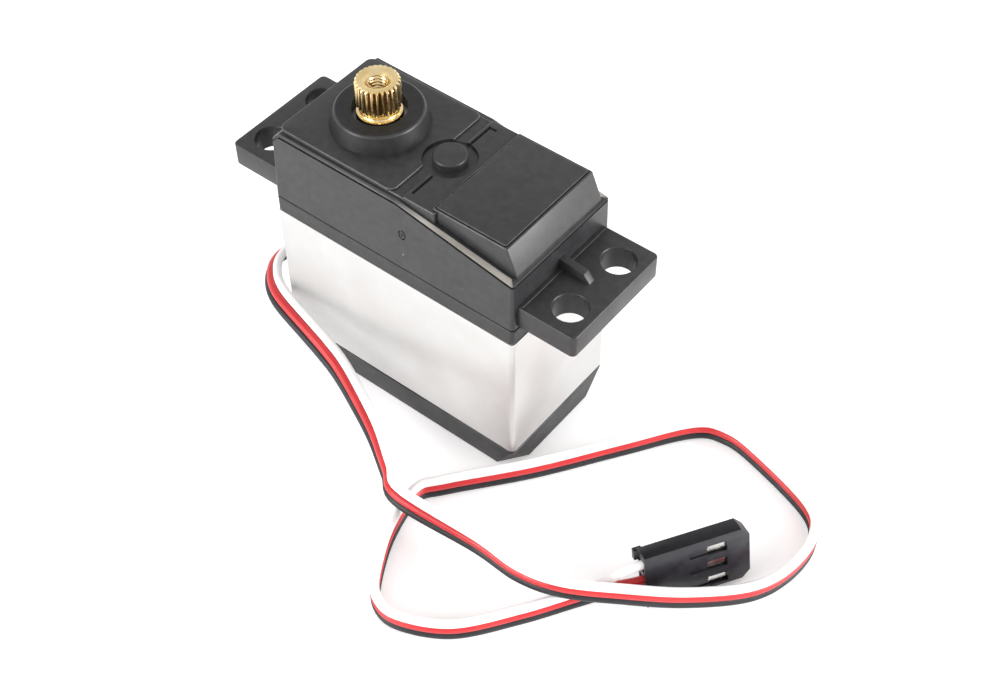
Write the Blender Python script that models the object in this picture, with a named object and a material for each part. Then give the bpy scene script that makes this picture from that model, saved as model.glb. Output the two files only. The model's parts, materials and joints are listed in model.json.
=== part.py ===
"""A standard-size servo motor with a metal middle case, geared output spline and three-wire lead.

The origin is under the middle of the case, on the plane that the case stands on. +X runs along the
case away from the output shaft, +Y across it and +Z up along the output shaft. Units are metres.
"""

import math

import bmesh
import bpy
import numpy as np
from mathutils import Matrix, Vector

MM = 0.001

# Case stack, from the ground up
BODY_HALF_LENGTH = 20.0 * MM
BODY_HALF_WIDTH = 10.15 * MM
BODY_CORNER = 0.7 * MM
SEAM = 0.2 * MM
COVER_TOP = 3.85 * MM
COVER_FLOOR = 1.6 * MM
MIDDLE_TOP = 25.85 * MM
DECK_TOP = 28.2 * MM
SHOULDER = 39.4 * MM
SHOULDER_BEND = 1.2 * MM
END_SHOULDER = 36.2 * MM
PLATE_TOP = 40.0 * MM
CHANNEL_TOP = 39.75 * MM
BLOCK_TOP = 40.45 * MM
BLOCK_RIM = 40.3 * MM
BLOCK_HALF_WIDTH = 8.55 * MM
BUTTON_TOP = 40.85 * MM
BOSS_TOP = 42.45 * MM
MOULD_INSET = 0.12 * MM
MOULD_DRAFT = 0.2 * MM
METAL_WALL = 1.3 * MM
PLASTIC_WALL = 1.5 * MM

# Mounting ears
EAR_BOTTOM = 28.6 * MM
EAR_THICKNESS = 3.45 * MM
EAR_REACH = 28.35 * MM
EAR_HALF_WIDTH = 8.93 * MM
EAR_CORNER = 0.8 * MM
EAR_HOLE_X = 24.85 * MM
EAR_HOLE_Y = 5.0 * MM
EAR_HOLE_RADIUS = 2.3 * MM
RIB_HALF_WIDTH = 0.53 * MM
RIB_HEIGHT = 1.7 * MM
RIB_TIP_HEIGHT = 1.15 * MM
RIB_REACH = 24.45 * MM

# Case screws
SCREW_X = 17.1 * MM
SCREW_Y = 7.5 * MM
SCREW_SHANK = 0.95 * MM
SCREW_BORE = 1.05 * MM
SCREW_HEAD = 1.45 * MM
SCREW_SEAT = 2.2 * MM
SCREW_TOP = 34.0 * MM
COLUMN_RADIUS = 1.6 * MM

# Shaft lines
OUTPUT_X = -9.3 * MM
CENTRE_X = 2.2 * MM
AXLE_RADIUS = 0.75 * MM
AXLE_BORE = 0.8 * MM
AXLE_FOOT = 26.6 * MM
SECOND_ANGLE = math.radians(12.0)
MOTOR_ANGLE = math.radians(-6.5)
MOTOR_RADIUS = 7.2 * MM
MOTOR_SHAFT = 0.5 * MM
RUNNING_GAP = 0.05 * MM

# Gear train, from the motor to the output
PINION_TEETH = 10
GEAR_1_TEETH = (48, 16)
GEAR_2_TEETH = (30, 12)
GEAR_3_TEETH = (34, 16)
OUTPUT_TEETH = 30
MODULE_1 = 0.3 * MM
MODULE_2 = 0.4 * MM
MODULE_3 = 0.4 * MM
MODULE_4 = 0.5 * MM
PRESSURE_ANGLE = math.radians(20.0)

# Output shaft
SPLINE_TEETH = 25
SPLINE_TIP = 2.95 * MM
SPLINE_ROOT = 2.62 * MM
SPLINE_FOOT = 42.9 * MM
SPLINE_TOP = 46.9 * MM
JOURNAL_RADIUS = 3.05 * MM
JOURNAL_TOP = 42.1 * MM
BUSH_JOURNAL = 2.5 * MM

# Bearing under the boss
BEARING_LOW = 38.1 * MM
BEARING_HIGH = 41.1 * MM
BEARING_RADIUS = 5.0 * MM
BALL_COUNT = 9
BALL_RADIUS = 0.36 * MM
BALL_CIRCLE = 4.01 * MM

# Lead and plug
RIBBON_WIDTH = 3.75 * MM
RIBBON_THICKNESS = 1.25 * MM
LEAD_POINTS = 72
PLUG_CORNER = (46.8 * MM, -16.85 * MM, 0.75 * MM)
PLUG_LENGTH = 14.3 * MM
PLUG_THICKNESS = 2.4 * MM
PLUG_WIDTH = 8.2 * MM
PLUG_CHAMFER = 1.1 * MM
PLUG_MIDDLE = 3.75 * MM
PLUG_HEADING = math.radians(58.0)
PLUG_LEAN = math.radians(15.5)
PIN_PITCH = 2.54 * MM

# The lead's own route in millimetres, from the grommet round to the plug
LEAD_ROUTE_MM = [
    (-22.7, 0.0, 6.4), (-25.3, 0.0, 6.5), (-27.0, -1.7, 7.2), (-27.2, -4.4, 8.0),
    (-26.2, -6.9, 8.9), (-24.6, -9.1, 9.6), (-22.3, -11.1, 10.0), (-19.1, -12.6, 10.1),
    (-13.2, -14.0, 9.5), (-9.5, -14.8, 8.9), (-5.8, -15.8, 8.2), (-0.9, -17.8, 7.3),
    (4.3, -20.3, 6.5), (9.4, -23.5, 5.9), (13.3, -25.8, 5.9), (25.4, -24.7, 5.0),
    (32.3, -25.0, 5.3), (38.2, -23.8, 5.9), (44.4, -19.8, 5.4), (50.6, -14.3, 3.7),
    (56.1, -7.7, 2.2), (58.3, -2.0, 1.95), (58.2, 3.7, 1.95), (55.2, 7.7, 1.95),
    (45.1, 11.0, 1.95), (39.8, 11.6, 1.95), (35.7, 9.6, 1.95), (29.7, 1.1, 1.95),
    (22.7, -9.0, 1.95), (15.1, -18.4, 1.95), (12.9, -22.0, 1.95), (14.2, -28.6, 1.95),
    (17.1, -34.6, 1.95), (19.6, -37.6, 1.95), (23.4, -38.2, 1.95), (29.7, -35.0, 1.95),
    (35.0, -28.3, 1.95), (39.1, -22.2, 2.2), (44.0, -16.6, 4.3),
]


# ---------------------------------------------------------------- outlines

def arc(centre, radius, start, stop, steps):
    """Points along an arc, angles in degrees."""
    angles = np.radians(np.linspace(start, stop, steps + 1))
    return [(centre[0] + radius * math.cos(a), centre[1] + radius * math.sin(a)) for a in angles]


def circle(centre, radius, sides):
    """Points round a circle."""
    return arc(centre, radius, 0.0, 360.0, sides)[:-1]


def rounded_box(low, high, radius, steps=4):
    """A rectangle between two corners with rounded corners, counter-clockwise."""
    x0, y0 = low[0] + radius, low[1] + radius
    x1, y1 = high[0] - radius, high[1] - radius
    points = arc((x1, y0), radius, -90, 0, steps) + arc((x1, y1), radius, 0, 90, steps)
    return points + arc((x0, y1), radius, 90, 180, steps) + arc((x0, y0), radius, 180, 270, steps)


def body_outline(inset=0.0, steps=4):
    """The case's plan outline, drawn in by an inset."""
    x, y = BODY_HALF_LENGTH - inset, BODY_HALF_WIDTH - inset
    return rounded_box((-x, -y), (x, y), BODY_CORNER, steps)


def cavity_outline(wall, column, steps=4):
    """The inside of the case, which bends round the four screw columns."""
    x, y = BODY_HALF_LENGTH - wall, BODY_HALF_WIDTH - wall
    points = []
    for side_x, side_y, start in ((1, -1, 90), (1, 1, 180), (-1, 1, 270), (-1, -1, 0)):
        centre = (side_x * SCREW_X, side_y * SCREW_Y)
        bend = arc(centre, column, start + 90, start, steps)
        along_y = (side_x * x, bend[0][1] if abs(bend[0][0] - centre[0]) < 1e-9 else bend[-1][1])
        along_x = (bend[-1][0] if abs(bend[-1][1] - centre[1]) < 1e-9 else bend[0][0], side_y * y)
        if side_x * side_y < 0:
            points += [along_x] + bend + [along_y]
        else:
            points += [along_y] + bend + [along_x]
    return points


def tooth_half_angle(teeth, module, radius, backlash):
    """Half of an involute tooth's angle at a radius."""
    pitch = teeth * module / 2
    base = pitch * math.cos(PRESSURE_ANGLE)
    pressure = math.acos(min(1.0, base / radius))
    spread = math.tan(PRESSURE_ANGLE) - PRESSURE_ANGLE - math.tan(pressure) + pressure
    return math.pi / (2 * teeth) + spread - backlash / (2 * pitch)


def gear_outline(teeth, module, turn=0.0):
    """A spur gear's outline with straightened involute flanks, its first tooth turned from +X."""
    pitch = teeth * module / 2
    backlash = 0.12 * module
    radii = (pitch - 1.1 * module, pitch, pitch + 0.82 * module)
    if teeth >= 30:
        radii = (radii[0], radii[2])
    halves = [tooth_half_angle(teeth, module, max(r, pitch * 0.955), backlash) for r in radii]
    points = []
    for tooth in range(teeth):
        middle = turn + 2 * math.pi * tooth / teeth
        flank = list(zip(radii, halves))
        for radius, half in flank:
            points.append((radius * math.cos(middle - half), radius * math.sin(middle - half)))
        for radius, half in reversed(flank):
            points.append((radius * math.cos(middle + half), radius * math.sin(middle + half)))
    return points


def spline_outline():
    """The output spline's outline: plain V-shaped teeth with flat tips."""
    points = []
    step = 2 * math.pi / SPLINE_TEETH
    crest = [(SPLINE_ROOT, -0.42), (SPLINE_TIP, -0.12), (SPLINE_TIP, 0.12), (SPLINE_ROOT, 0.42)]
    for tooth in range(SPLINE_TEETH):
        middle = tooth * step
        for radius, share in crest:
            angle = middle + share * step
            points.append((radius * math.cos(angle), radius * math.sin(angle)))
    return points


# ---------------------------------------------------------------- solids

def prism(outline, bottom, top, upper=None):
    """A closed prism of a counter-clockwise outline. A second outline tapers it."""
    made = bmesh.new()
    low = [made.verts.new((x, y, bottom)) for x, y in outline]
    high = [made.verts.new((x, y, top)) for x, y in upper or outline]
    made.faces.new(list(reversed(low)))
    made.faces.new(high)
    for i in range(len(low)):
        j = (i + 1) % len(low)
        made.faces.new((low[i], low[j], high[j], high[i]))
    return made


def box(low, high):
    """A closed box between two corners."""
    return prism(rounded_corners(low, high), low[2], high[2])


def rounded_corners(low, high):
    """The four plan corners of a box."""
    return [(low[0], low[1]), (high[0], low[1]), (high[0], high[1]), (low[0], high[1])]


def side_prism(outline, half_width):
    """A prism of an XZ outline, as wide as twice the half width along Y."""
    made = prism([(x, z) for x, z in outline], -half_width, half_width)
    bmesh.ops.rotate(made, verts=made.verts, cent=(0, 0, 0), matrix=Matrix.Rotation(math.radians(90), 3, "X"))
    return made


def ring_prism(outer, inner, bottom, top):
    """A prism with a hole right through it."""
    made = bmesh.new()
    loops = []
    for height in (bottom, top):
        for outline in (outer, inner):
            loops.append([made.verts.new((x, y, height)) for x, y in outline])
    for low, high in ((loops[0], loops[2]), (loops[1], loops[3])):
        for i in range(len(low)):
            j = (i + 1) % len(low)
            made.faces.new((low[i], low[j], high[j], high[i]))
    for pair in (loops[:2], loops[2:]):
        rim = []
        for loop in pair:
            rim += [made.edges.get((loop[i], loop[(i + 1) % len(loop)])) for i in range(len(loop))]
        bmesh.ops.triangle_fill(made, edges=rim, use_beauty=True)
    bmesh.ops.recalc_face_normals(made, faces=made.faces)
    return made


def turned(profile, sides, centre=(0.0, 0.0)):
    """A solid of revolution from (radius, height) points. It closes on the axis, or as a ring."""
    made = bmesh.new()
    rings = []
    for radius, height in profile:
        if radius == 0.0:
            rings.append([made.verts.new((centre[0], centre[1], height))])
        else:
            rings.append([made.verts.new((x, y, height)) for x, y in circle(centre, radius, sides)])
    spans = list(zip(rings, rings[1:]))
    if profile[0][0] > 0.0:
        spans.append((rings[-1], rings[0]))
    for first, second in spans:
        for i in range(sides):
            j = (i + 1) % sides
            corners = [first[i % len(first)], first[j % len(first)]]
            corners += [second[j % len(second)], second[i % len(second)]]
            made.faces.new(list(dict.fromkeys(corners)))
    bmesh.ops.recalc_face_normals(made, faces=made.faces)
    return made


def cylinder(centre, radius, bottom, top, sides=24):
    """A plain closed cylinder."""
    return prism(circle(centre, radius, sides), bottom, top)


def ball(centre, radius):
    """A small closed sphere."""
    made = bmesh.new()
    bmesh.ops.create_uvsphere(made, u_segments=8, v_segments=5, radius=radius)
    bmesh.ops.translate(made, verts=made.verts, vec=centre)
    return made


def corner_wedge(side_x, side_y):
    """The slanted cut under one corner of the bottom cover."""
    on_side = Vector((17.2 * MM * side_x, BODY_HALF_WIDTH * side_y, 0.0))
    on_end = Vector((BODY_HALF_LENGTH * side_x, 6.4 * MM * side_y, 0.0))
    peak = Vector((19.7 * MM * side_x, 9.85 * MM * side_y, 3.6 * MM))
    middle = (on_side + on_end + peak) / 3
    corners = [middle + (point - middle) * 2.5 for point in (on_side, on_end, peak)]
    outward = (on_end - on_side).cross(peak - on_side).normalized()
    if outward.x * side_x < 0:
        outward.negate()
    made = bmesh.new()
    low = [made.verts.new(point) for point in corners]
    high = [made.verts.new(point + outward * 6 * MM) for point in corners]
    made.faces.new(low)
    made.faces.new(high)
    for i in range(3):
        j = (i + 1) % 3
        made.faces.new((low[i], low[j], high[j], high[i]))
    bmesh.ops.recalc_face_normals(made, faces=made.faces)
    return made


# ---------------------------------------------------------------- objects

def material(name, colour, roughness, metallic=0.0):
    """A Principled material with one colour."""
    made = bpy.data.materials.new(name)
    made.use_nodes = True
    shader = made.node_tree.nodes["Principled BSDF"]
    shader.inputs["Base Color"].default_value = (*colour, 1.0)
    shader.inputs["Roughness"].default_value = roughness
    shader.inputs["Metallic"].default_value = metallic
    made.diffuse_color = (*colour, 1.0)
    return made


def mesh_object(name, shape):
    """An object of a bmesh, smooth where its faces meet at less than 35 degrees."""
    mesh = bpy.data.meshes.new(name)
    shape.to_mesh(mesh)
    shape.free()
    mesh.shade_smooth()
    mesh.set_sharp_from_angle(angle=math.radians(35))
    made = bpy.data.objects.new(name, mesh)
    bpy.context.scene.collection.objects.link(made)
    return made


def part(name, shape, finish, parent):
    """A named piece, parented to its body's empty, with its mesh in that empty's frame."""
    made = mesh_object(name, shape)
    made.data.materials.append(finish)
    made.parent = parent
    return made


def boolean(target, operation, shape):
    """Adds a Boolean with a hidden tool that moves with its target."""
    number = len(target.modifiers) + 1
    tool = mesh_object(f"{target.name}_tool_{number}", shape)
    tool.parent = target.parent
    tool.hide_render = True
    tool.display_type = "WIRE"
    step = target.modifiers.new(f"{operation.lower()}_{number}", "BOOLEAN")
    step.operation = operation
    step.object = tool
    step.solver = "EXACT"


def cut(target, *shapes):
    for shape in shapes:
        boolean(target, "DIFFERENCE", shape)


def join(target, *shapes):
    for shape in shapes:
        boolean(target, "UNION", shape)


def axis_empty(name, x=0.0, y=0.0):
    """The frame of one rigid body, on its joint's axis."""
    made = bpy.data.objects.new(name, None)
    made.location = (x, y, 0.0)
    made.empty_display_size = 5 * MM
    bpy.context.scene.collection.objects.link(made)
    return made


def screw_holes(radius, bottom, top):
    """Cutters for the four case screws."""
    places = [(sx * SCREW_X, sy * SCREW_Y) for sx in (-1, 1) for sy in (-1, 1)]
    return [cylinder(place, radius, bottom, top, 16) for place in places]


# ---------------------------------------------------------------- the case

def bottom_cover(finish, body):
    """The dished plastic cover that closes the underside."""
    edge = 0.1 * MM
    shell = part("bottom_cover", prism(body_outline(edge), 0.0, edge, body_outline()), finish, body)
    join(shell, prism(body_outline(), edge * 0.5, COVER_TOP))
    cut(shell, prism(cavity_outline(PLASTIC_WALL, 2.3 * MM), COVER_FLOOR, COVER_TOP + MM))
    cut(shell, *screw_holes(SCREW_BORE, -MM, COVER_TOP + MM))
    cut(shell, *screw_holes(SCREW_HEAD + 0.15 * MM, -MM, SCREW_SEAT))
    cut(shell, *[corner_wedge(sx, sy) for sx in (-1, 1) for sy in (-1, 1)])


def middle_case(finish, body):
    """The metal sleeve round the motor, open at both ends, with the lead's notch in one end."""
    shell = part("middle_case", prism(body_outline(), COVER_TOP + SEAM, MIDDLE_TOP), finish, body)
    cut(shell, prism(cavity_outline(METAL_WALL, COLUMN_RADIUS), COVER_TOP - MM, MIDDLE_TOP + MM))
    cut(shell, *screw_holes(SCREW_BORE, COVER_TOP - MM, MIDDLE_TOP + MM))
    notch = 1.8 * MM
    cut(shell, box((-21 * MM, -notch, COVER_TOP - MM), (-18 * MM, notch, 8.7 * MM)))


def gear_deck(finish, body):
    """The plate under the gears, which carries the motor, the bush and the axles."""
    deck = part("gear_deck", prism(body_outline(MOULD_INSET), MIDDLE_TOP + SEAM, DECK_TOP), finish, body)
    low, high = MIDDLE_TOP - MM, DECK_TOP + MM
    cut(deck, cylinder((OUTPUT_X, 0.0), 3.6 * MM, low, high, 32))
    cut(deck, cylinder(motor_place(), MOTOR_SHAFT * 2, low, high, 16))
    for place in ((CENTRE_X, 0.0), second_place()):
        cut(deck, cylinder(place, AXLE_BORE, AXLE_FOOT - SEAM, high, 16))
    cut(deck, *screw_holes(SCREW_BORE, low, high))


def upper_case(finish, body):
    """The moulded top: side walls, ears, shoulder, raised top with its boss, button and sloping block."""
    foot = body_outline(MOULD_INSET)
    brow = body_outline(MOULD_INSET + MOULD_DRAFT)
    shell = part("upper_case", prism(foot, DECK_TOP + SEAM, SHOULDER, brow), finish, body)
    high = 50 * MM
    far = 22 * MM
    slope = (END_SHOULDER - SHOULDER) / (BODY_HALF_LENGTH - SHOULDER_BEND)
    fall = SHOULDER + slope * (far - SHOULDER_BEND)
    slant = [(SHOULDER_BEND, SHOULDER), (far, fall), (far, high), (SHOULDER_BEND, high)]
    cut(shell, side_prism(slant, 12 * MM))
    corner = [(-21 * MM, SHOULDER - 2.6 * MM), (-18.4 * MM, SHOULDER), (-18.4 * MM, high), (-21 * MM, high)]
    cut(shell, side_prism(corner, 12 * MM))
    plate = rounded_box((-18.8 * MM, -8.92 * MM), (0.3 * MM, 8.92 * MM), 0.9 * MM)
    join(shell, prism(plate, 37.5 * MM, PLATE_TOP))
    join(shell, box((-1 * MM, -8.9 * MM, 38 * MM), (7 * MM, 8.9 * MM, CHANNEL_TOP)))
    join(shell, box((1.9 * MM, -8.9 * MM, 37.5 * MM), (6.6 * MM, 8.9 * MM, PLATE_TOP)))
    block = [(6.3 * MM, 35.5 * MM), (19.3 * MM, 35.5 * MM), (19.3 * MM, 36.6 * MM)]
    block += [(17.75 * MM, BLOCK_RIM), (6.3 * MM, BLOCK_RIM)]
    join(shell, side_prism(block, BLOCK_HALF_WIDTH))
    rim = BLOCK_HALF_WIDTH - 0.3 * MM
    join(shell, box((6.6 * MM, -rim, 39 * MM), (17.45 * MM, rim, BLOCK_TOP)))
    boss = [(0.0, 38.8 * MM), (6.6 * MM, 38.8 * MM), (6.6 * MM, PLATE_TOP)]
    boss += [(5.85 * MM, BOSS_TOP), (0.0, BOSS_TOP)]
    join(shell, turned(boss, 48, (OUTPUT_X, 0.0)))
    well = [(2.26 * MM, 39.6 * MM), (3.6 * MM, 39.6 * MM), (3.6 * MM, 41 * MM), (2.26 * MM, 41 * MM)]
    button = cylinder((CENTRE_X, 0.0), 2.6 * MM, 38.5 * MM, BUTTON_TOP, 32)
    join(shell, button)
    cut(shell, turned(well, 32, (CENTRE_X, 0.0)))
    ear_top = EAR_BOTTOM + EAR_THICKNESS
    rib = [(19 * MM, ear_top - 0.5 * MM), (RIB_REACH, ear_top - 0.5 * MM), (RIB_REACH, ear_top)]
    rib += [(RIB_REACH - MM, ear_top + RIB_TIP_HEIGHT), (19 * MM, ear_top + RIB_HEIGHT)]
    for side in (-1, 1):
        ear = rounded_box((18.5 * MM, -EAR_HALF_WIDTH), (EAR_REACH, EAR_HALF_WIDTH), EAR_CORNER)
        ear = [(side * x, y) for x, y in ear][::side]
        join(shell, prism(ear, EAR_BOTTOM, ear_top))
        join(shell, side_prism([(side * x, z) for x, z in rib][::side], RIB_HALF_WIDTH))
        for row in (-1, 1):
            place = (side * EAR_HOLE_X, row * EAR_HOLE_Y)
            cut(shell, cylinder(place, EAR_HOLE_RADIUS, EAR_BOTTOM - MM, ear_top + MM, 24))
    cut_gearbox(shell)


def cut_gearbox(shell):
    """Opens the upper case from below: the gear space, the bearing seat, the sockets and the screw bores."""
    low = DECK_TOP - MM
    cut(shell, prism(cavity_outline(PLASTIC_WALL, COLUMN_RADIUS), low, 35.0 * MM))
    upper = arc((OUTPUT_X, 0.0), 8.3 * MM, 90, 270, 16) + [(7.0 * MM, -8.3 * MM), (7.0 * MM, 8.3 * MM)]
    cut(shell, prism(upper, 34.5 * MM, 37.9 * MM))
    seat = BEARING_RADIUS + RUNNING_GAP
    cut(shell, cylinder((OUTPUT_X, 0.0), seat, 37.5 * MM, BEARING_HIGH + 0.1 * MM, 40))
    cut(shell, cylinder((OUTPUT_X, 0.0), 3.63 * MM, 41 * MM, 43 * MM, 40))
    cut(shell, cylinder((CENTRE_X, 0.0), AXLE_BORE, 37.5 * MM, 39.0 * MM, 16))
    cut(shell, cylinder(second_place(), AXLE_BORE, 34.5 * MM, 37.0 * MM, 16))
    cut(shell, *screw_holes(SCREW_BORE, low, SCREW_TOP + SEAM))


def case_screws(finish, body):
    """Four long screws that run up through the whole stack."""
    under = SCREW_SEAT - RUNNING_GAP
    profile = [(0.0, 0.6 * MM), (SCREW_HEAD, 0.6 * MM), (SCREW_HEAD, under), (SCREW_SHANK, under)]
    profile += [(SCREW_SHANK, SCREW_TOP - 0.6 * MM), (0.4 * MM, SCREW_TOP), (0.0, SCREW_TOP)]
    places = [(-1, -1), (1, -1), (1, 1), (-1, 1)]
    for number, (side_x, side_y) in enumerate(places, 1):
        shank = part(f"case_screw_{number}", turned(profile, 16), finish, body)
        shank.location = (side_x * SCREW_X, side_y * SCREW_Y, 0.0)


def lead_grommet(finish, body):
    """The rubber strain relief that sits in the notch, with a nose round the lead."""
    half = [(-22.4, 0.95), (-20.8, 1.35), (-20.8, 2.4), (-20.15, 2.4), (-20.15, 1.6), (-18.55, 1.6)]
    half += [(-18.55, 2.4), (-17.95, 2.4)]
    near = [(x * MM, -y * MM) for x, y in half]
    far = [(x * MM, y * MM) for x, y in reversed(half)]
    part("lead_grommet", prism(near + far, 4.35 * MM, 8.45 * MM), finish, body)


# ---------------------------------------------------------------- motor, sensor and board

def motor_place():
    """The motor's axis, one gear distance from the centre axle."""
    reach = (PINION_TEETH + GEAR_1_TEETH[0]) * MODULE_1 / 2
    return (CENTRE_X + reach * math.cos(MOTOR_ANGLE), reach * math.sin(MOTOR_ANGLE))


def second_place():
    """The second axle, one gear distance from the centre axle."""
    reach = (GEAR_1_TEETH[1] + GEAR_2_TEETH[0]) * MODULE_2 / 2
    return (CENTRE_X + reach * math.cos(SECOND_ANGLE), reach * math.sin(SECOND_ANGLE))


def motor_stator(steel, plastic, magnet, copper, body):
    """The motor's can, end cap, magnets and terminals."""
    place = motor_place()
    inner = MOTOR_RADIUS - 0.7 * MM
    can = [(0.75 * MM, 24.8 * MM), (inner, 24.8 * MM), (inner, 9.5 * MM), (MOTOR_RADIUS, 9.5 * MM)]
    can += [(MOTOR_RADIUS, 25.0 * MM), (MOTOR_RADIUS - 0.6 * MM, 25.6 * MM), (0.75 * MM, 25.6 * MM)]
    part("motor_can", turned(can, 40, place), steel, body)
    cap = [(0.6 * MM, 8.0 * MM), (MOTOR_RADIUS, 8.0 * MM), (MOTOR_RADIUS, 9.3 * MM), (0.6 * MM, 9.3 * MM)]
    part("motor_end_cap", turned(cap, 40, place), plastic, body)
    for number, middle in ((1, 0.0), (2, 180.0)):
        outer = arc(place, inner - 0.15 * MM, middle - 60, middle + 60, 12)
        inside = arc(place, inner - 0.95 * MM, middle + 60, middle - 60, 12)
        part(f"motor_magnet_{number}", prism(outer + inside, 11 * MM, 23 * MM), magnet, body)
        across = place[1] + (4.5 * MM if number == 1 else -4.5 * MM)
        low = (place[0] - 0.8 * MM, across - 0.2 * MM, 6.35 * MM)
        tab = box(low, (low[0] + 1.6 * MM, low[1] + 0.4 * MM, 7.75 * MM))
        part(f"motor_terminal_{number}", tab, copper, body)


def motor_rotor(steel, brass, body):
    """The shaft, the three-pole armature and the pinion, which turn together."""
    part("motor_shaft", cylinder((0.0, 0.0), MOTOR_SHAFT, 8.6 * MM, 30.2 * MM, 12), steel, body)
    poles = []
    for pole in range(3):
        middle = 120 * pole
        poles += arc((0.0, 0.0), 2.0 * MM, middle - 60, middle - 38, 1)
        poles += arc((0.0, 0.0), 4.0 * MM, middle - 17, middle - 17.1, 1)[:1]
        poles += arc((0.0, 0.0), 5.1 * MM, middle - 50, middle + 50, 8)
        poles += arc((0.0, 0.0), 4.0 * MM, middle + 17, middle + 17.1, 1)[:1]
        poles += arc((0.0, 0.0), 2.0 * MM, middle + 38, middle + 60, 1)[:1]
    bore = circle((0.0, 0.0), MOTOR_SHAFT + RUNNING_GAP, 12)
    part("motor_armature", ring_prism(poles, bore, 12 * MM, 22 * MM), steel, body)
    mesh_turn = MOTOR_ANGLE + math.pi + math.pi / PINION_TEETH
    pinion = gear_outline(PINION_TEETH, MODULE_1, mesh_turn)
    part("motor_pinion", ring_prism(pinion, bore, 28.5 * MM, 30.1 * MM), brass, body)


def position_sensor(plastic, copper, body, output):
    """The potentiometer under the output shaft: cup, base, wires and the shaft that the output turns."""
    centre = (OUTPUT_X, 0.0)
    cup = [(1.35 * MM, 25.0 * MM), (4.2 * MM, 25.0 * MM), (4.2 * MM, 20.4 * MM), (4.8 * MM, 20.4 * MM)]
    cup += [(4.8 * MM, 25.7 * MM), (1.35 * MM, 25.7 * MM)]
    part("sensor_cup", turned(cup, 32, centre), plastic, body)
    part("sensor_base", cylinder(centre, 4.8 * MM, 18.9 * MM, 20.2 * MM, 32), plastic, body)
    wiper = [(0.0, 20.9 * MM), (1.2 * MM, 20.9 * MM), (1.2 * MM, 22.0 * MM), (3.7 * MM, 22.0 * MM)]
    wiper += [(3.7 * MM, 22.8 * MM), (1.2 * MM, 22.8 * MM), (1.2 * MM, 28.6 * MM), (0.0, 28.6 * MM)]
    part("sensor_shaft", turned(wiper, 20), copper, output)


def control_board(green, black, silver, body):
    """The circuit board across the bottom of the metal case, with its chip, driver and capacitor."""
    ends, width = 17.4 * MM, 8.2 * MM
    inner, notch = 15.1 * MM, 5.4 * MM
    back = -14.2 * MM
    outline = [(back, -width), (inner, -width), (inner, -notch), (ends, -notch), (ends, notch)]
    outline += [(inner, notch), (inner, width), (back, width)]
    part("control_board", prism(outline, 5.1 * MM, 6.1 * MM), green, body)
    part("control_chip", box((1 * MM, -3.5 * MM, 3.7 * MM), (8 * MM, 3.5 * MM, 4.8 * MM)), black, body)
    part("motor_driver_chip", box((-9 * MM, -2 * MM, 3.3 * MM), (-4 * MM, 2 * MM, 4.8 * MM)), black, body)
    part("board_capacitor", cylinder((-8.5 * MM, 4.6 * MM), 2.5 * MM, 6.4 * MM, 14 * MM, 20), silver, body)


def inner_wires(finish, body):
    """The flat wire runs inside the case, from the grommet and from the position sensor to the board."""
    tail = [(-17.2, 0.0, 6.4), (-16.6, 0.0, 6.4), (-15.4, 0.0, 8.2), (-14.2, 0.0, 9.0), (-12.8, 0.0, 9.0)]
    ribbon("lead_tail", tail, 10, finish, body)
    sensor = [(-12.8, 0.0, 16.7), (-13.6, 0.2, 15.0), (-13.8, 0.5, 13.5), (-13.4, 0.5, 12.7)]
    ribbon("sensor_wires", sensor, 8, finish, body)


# ---------------------------------------------------------------- gears, shafts and bearings

def mesh_angle(angle, driver_teeth, driver_turn, teeth):
    """The turn that puts a gear's gap on the driver's tooth, where the driver lies at an angle from it."""
    phase = (angle - driver_turn) * driver_teeth / (2 * math.pi)
    return angle + math.pi - (0.5 - phase) * 2 * math.pi / teeth


def compound_gear(name, wheels, bore, finish, body):
    """A large and a small wheel in one piece on a plain bore. A wheel is an outline, a bottom and a top."""
    hole = circle((0.0, 0.0), bore, 20)
    (first, low, middle), (second, _, high) = wheels
    gear = part(name, ring_prism(first, hole, low, middle), finish, body)
    join(gear, prism(second, middle - 0.2 * MM, high))
    cut(gear, cylinder((0.0, 0.0), bore, low - MM, high + MM, 20))


def gear_train(steel, brass, bodies):
    """The three compound gears between the motor and the output, all in mesh at rest."""
    motor_turn = MOTOR_ANGLE + math.pi + math.pi / PINION_TEETH
    turn_1 = mesh_angle(MOTOR_ANGLE + math.pi, PINION_TEETH, motor_turn, GEAR_1_TEETH[0])
    wheels = (
        (gear_outline(GEAR_1_TEETH[0], MODULE_1, turn_1), 28.5 * MM, 30.1 * MM),
        (gear_outline(GEAR_1_TEETH[1], MODULE_2), 30.1 * MM, 32.4 * MM),
    )
    compound_gear("gear_1", wheels, AXLE_BORE, brass, bodies["gear_1"])
    turn_2 = mesh_angle(SECOND_ANGLE, GEAR_1_TEETH[1], 0.0, GEAR_2_TEETH[0])
    wheels = (
        (gear_outline(GEAR_2_TEETH[0], MODULE_2, turn_2), 30.5 * MM, 32.3 * MM),
        (gear_outline(GEAR_2_TEETH[1], MODULE_3), 32.3 * MM, 34.6 * MM),
    )
    compound_gear("gear_2", wheels, AXLE_BORE, steel, bodies["gear_2"])
    turn_3 = mesh_angle(SECOND_ANGLE + math.pi, GEAR_2_TEETH[1], 0.0, GEAR_3_TEETH[0])
    wheels = (
        (gear_outline(GEAR_3_TEETH[0], MODULE_3, turn_3), 32.7 * MM, 34.4 * MM),
        (gear_outline(GEAR_3_TEETH[1], MODULE_4), 34.4 * MM, 37.5 * MM),
    )
    compound_gear("gear_3", wheels, AXLE_BORE, steel, bodies["gear_3"])


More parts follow.
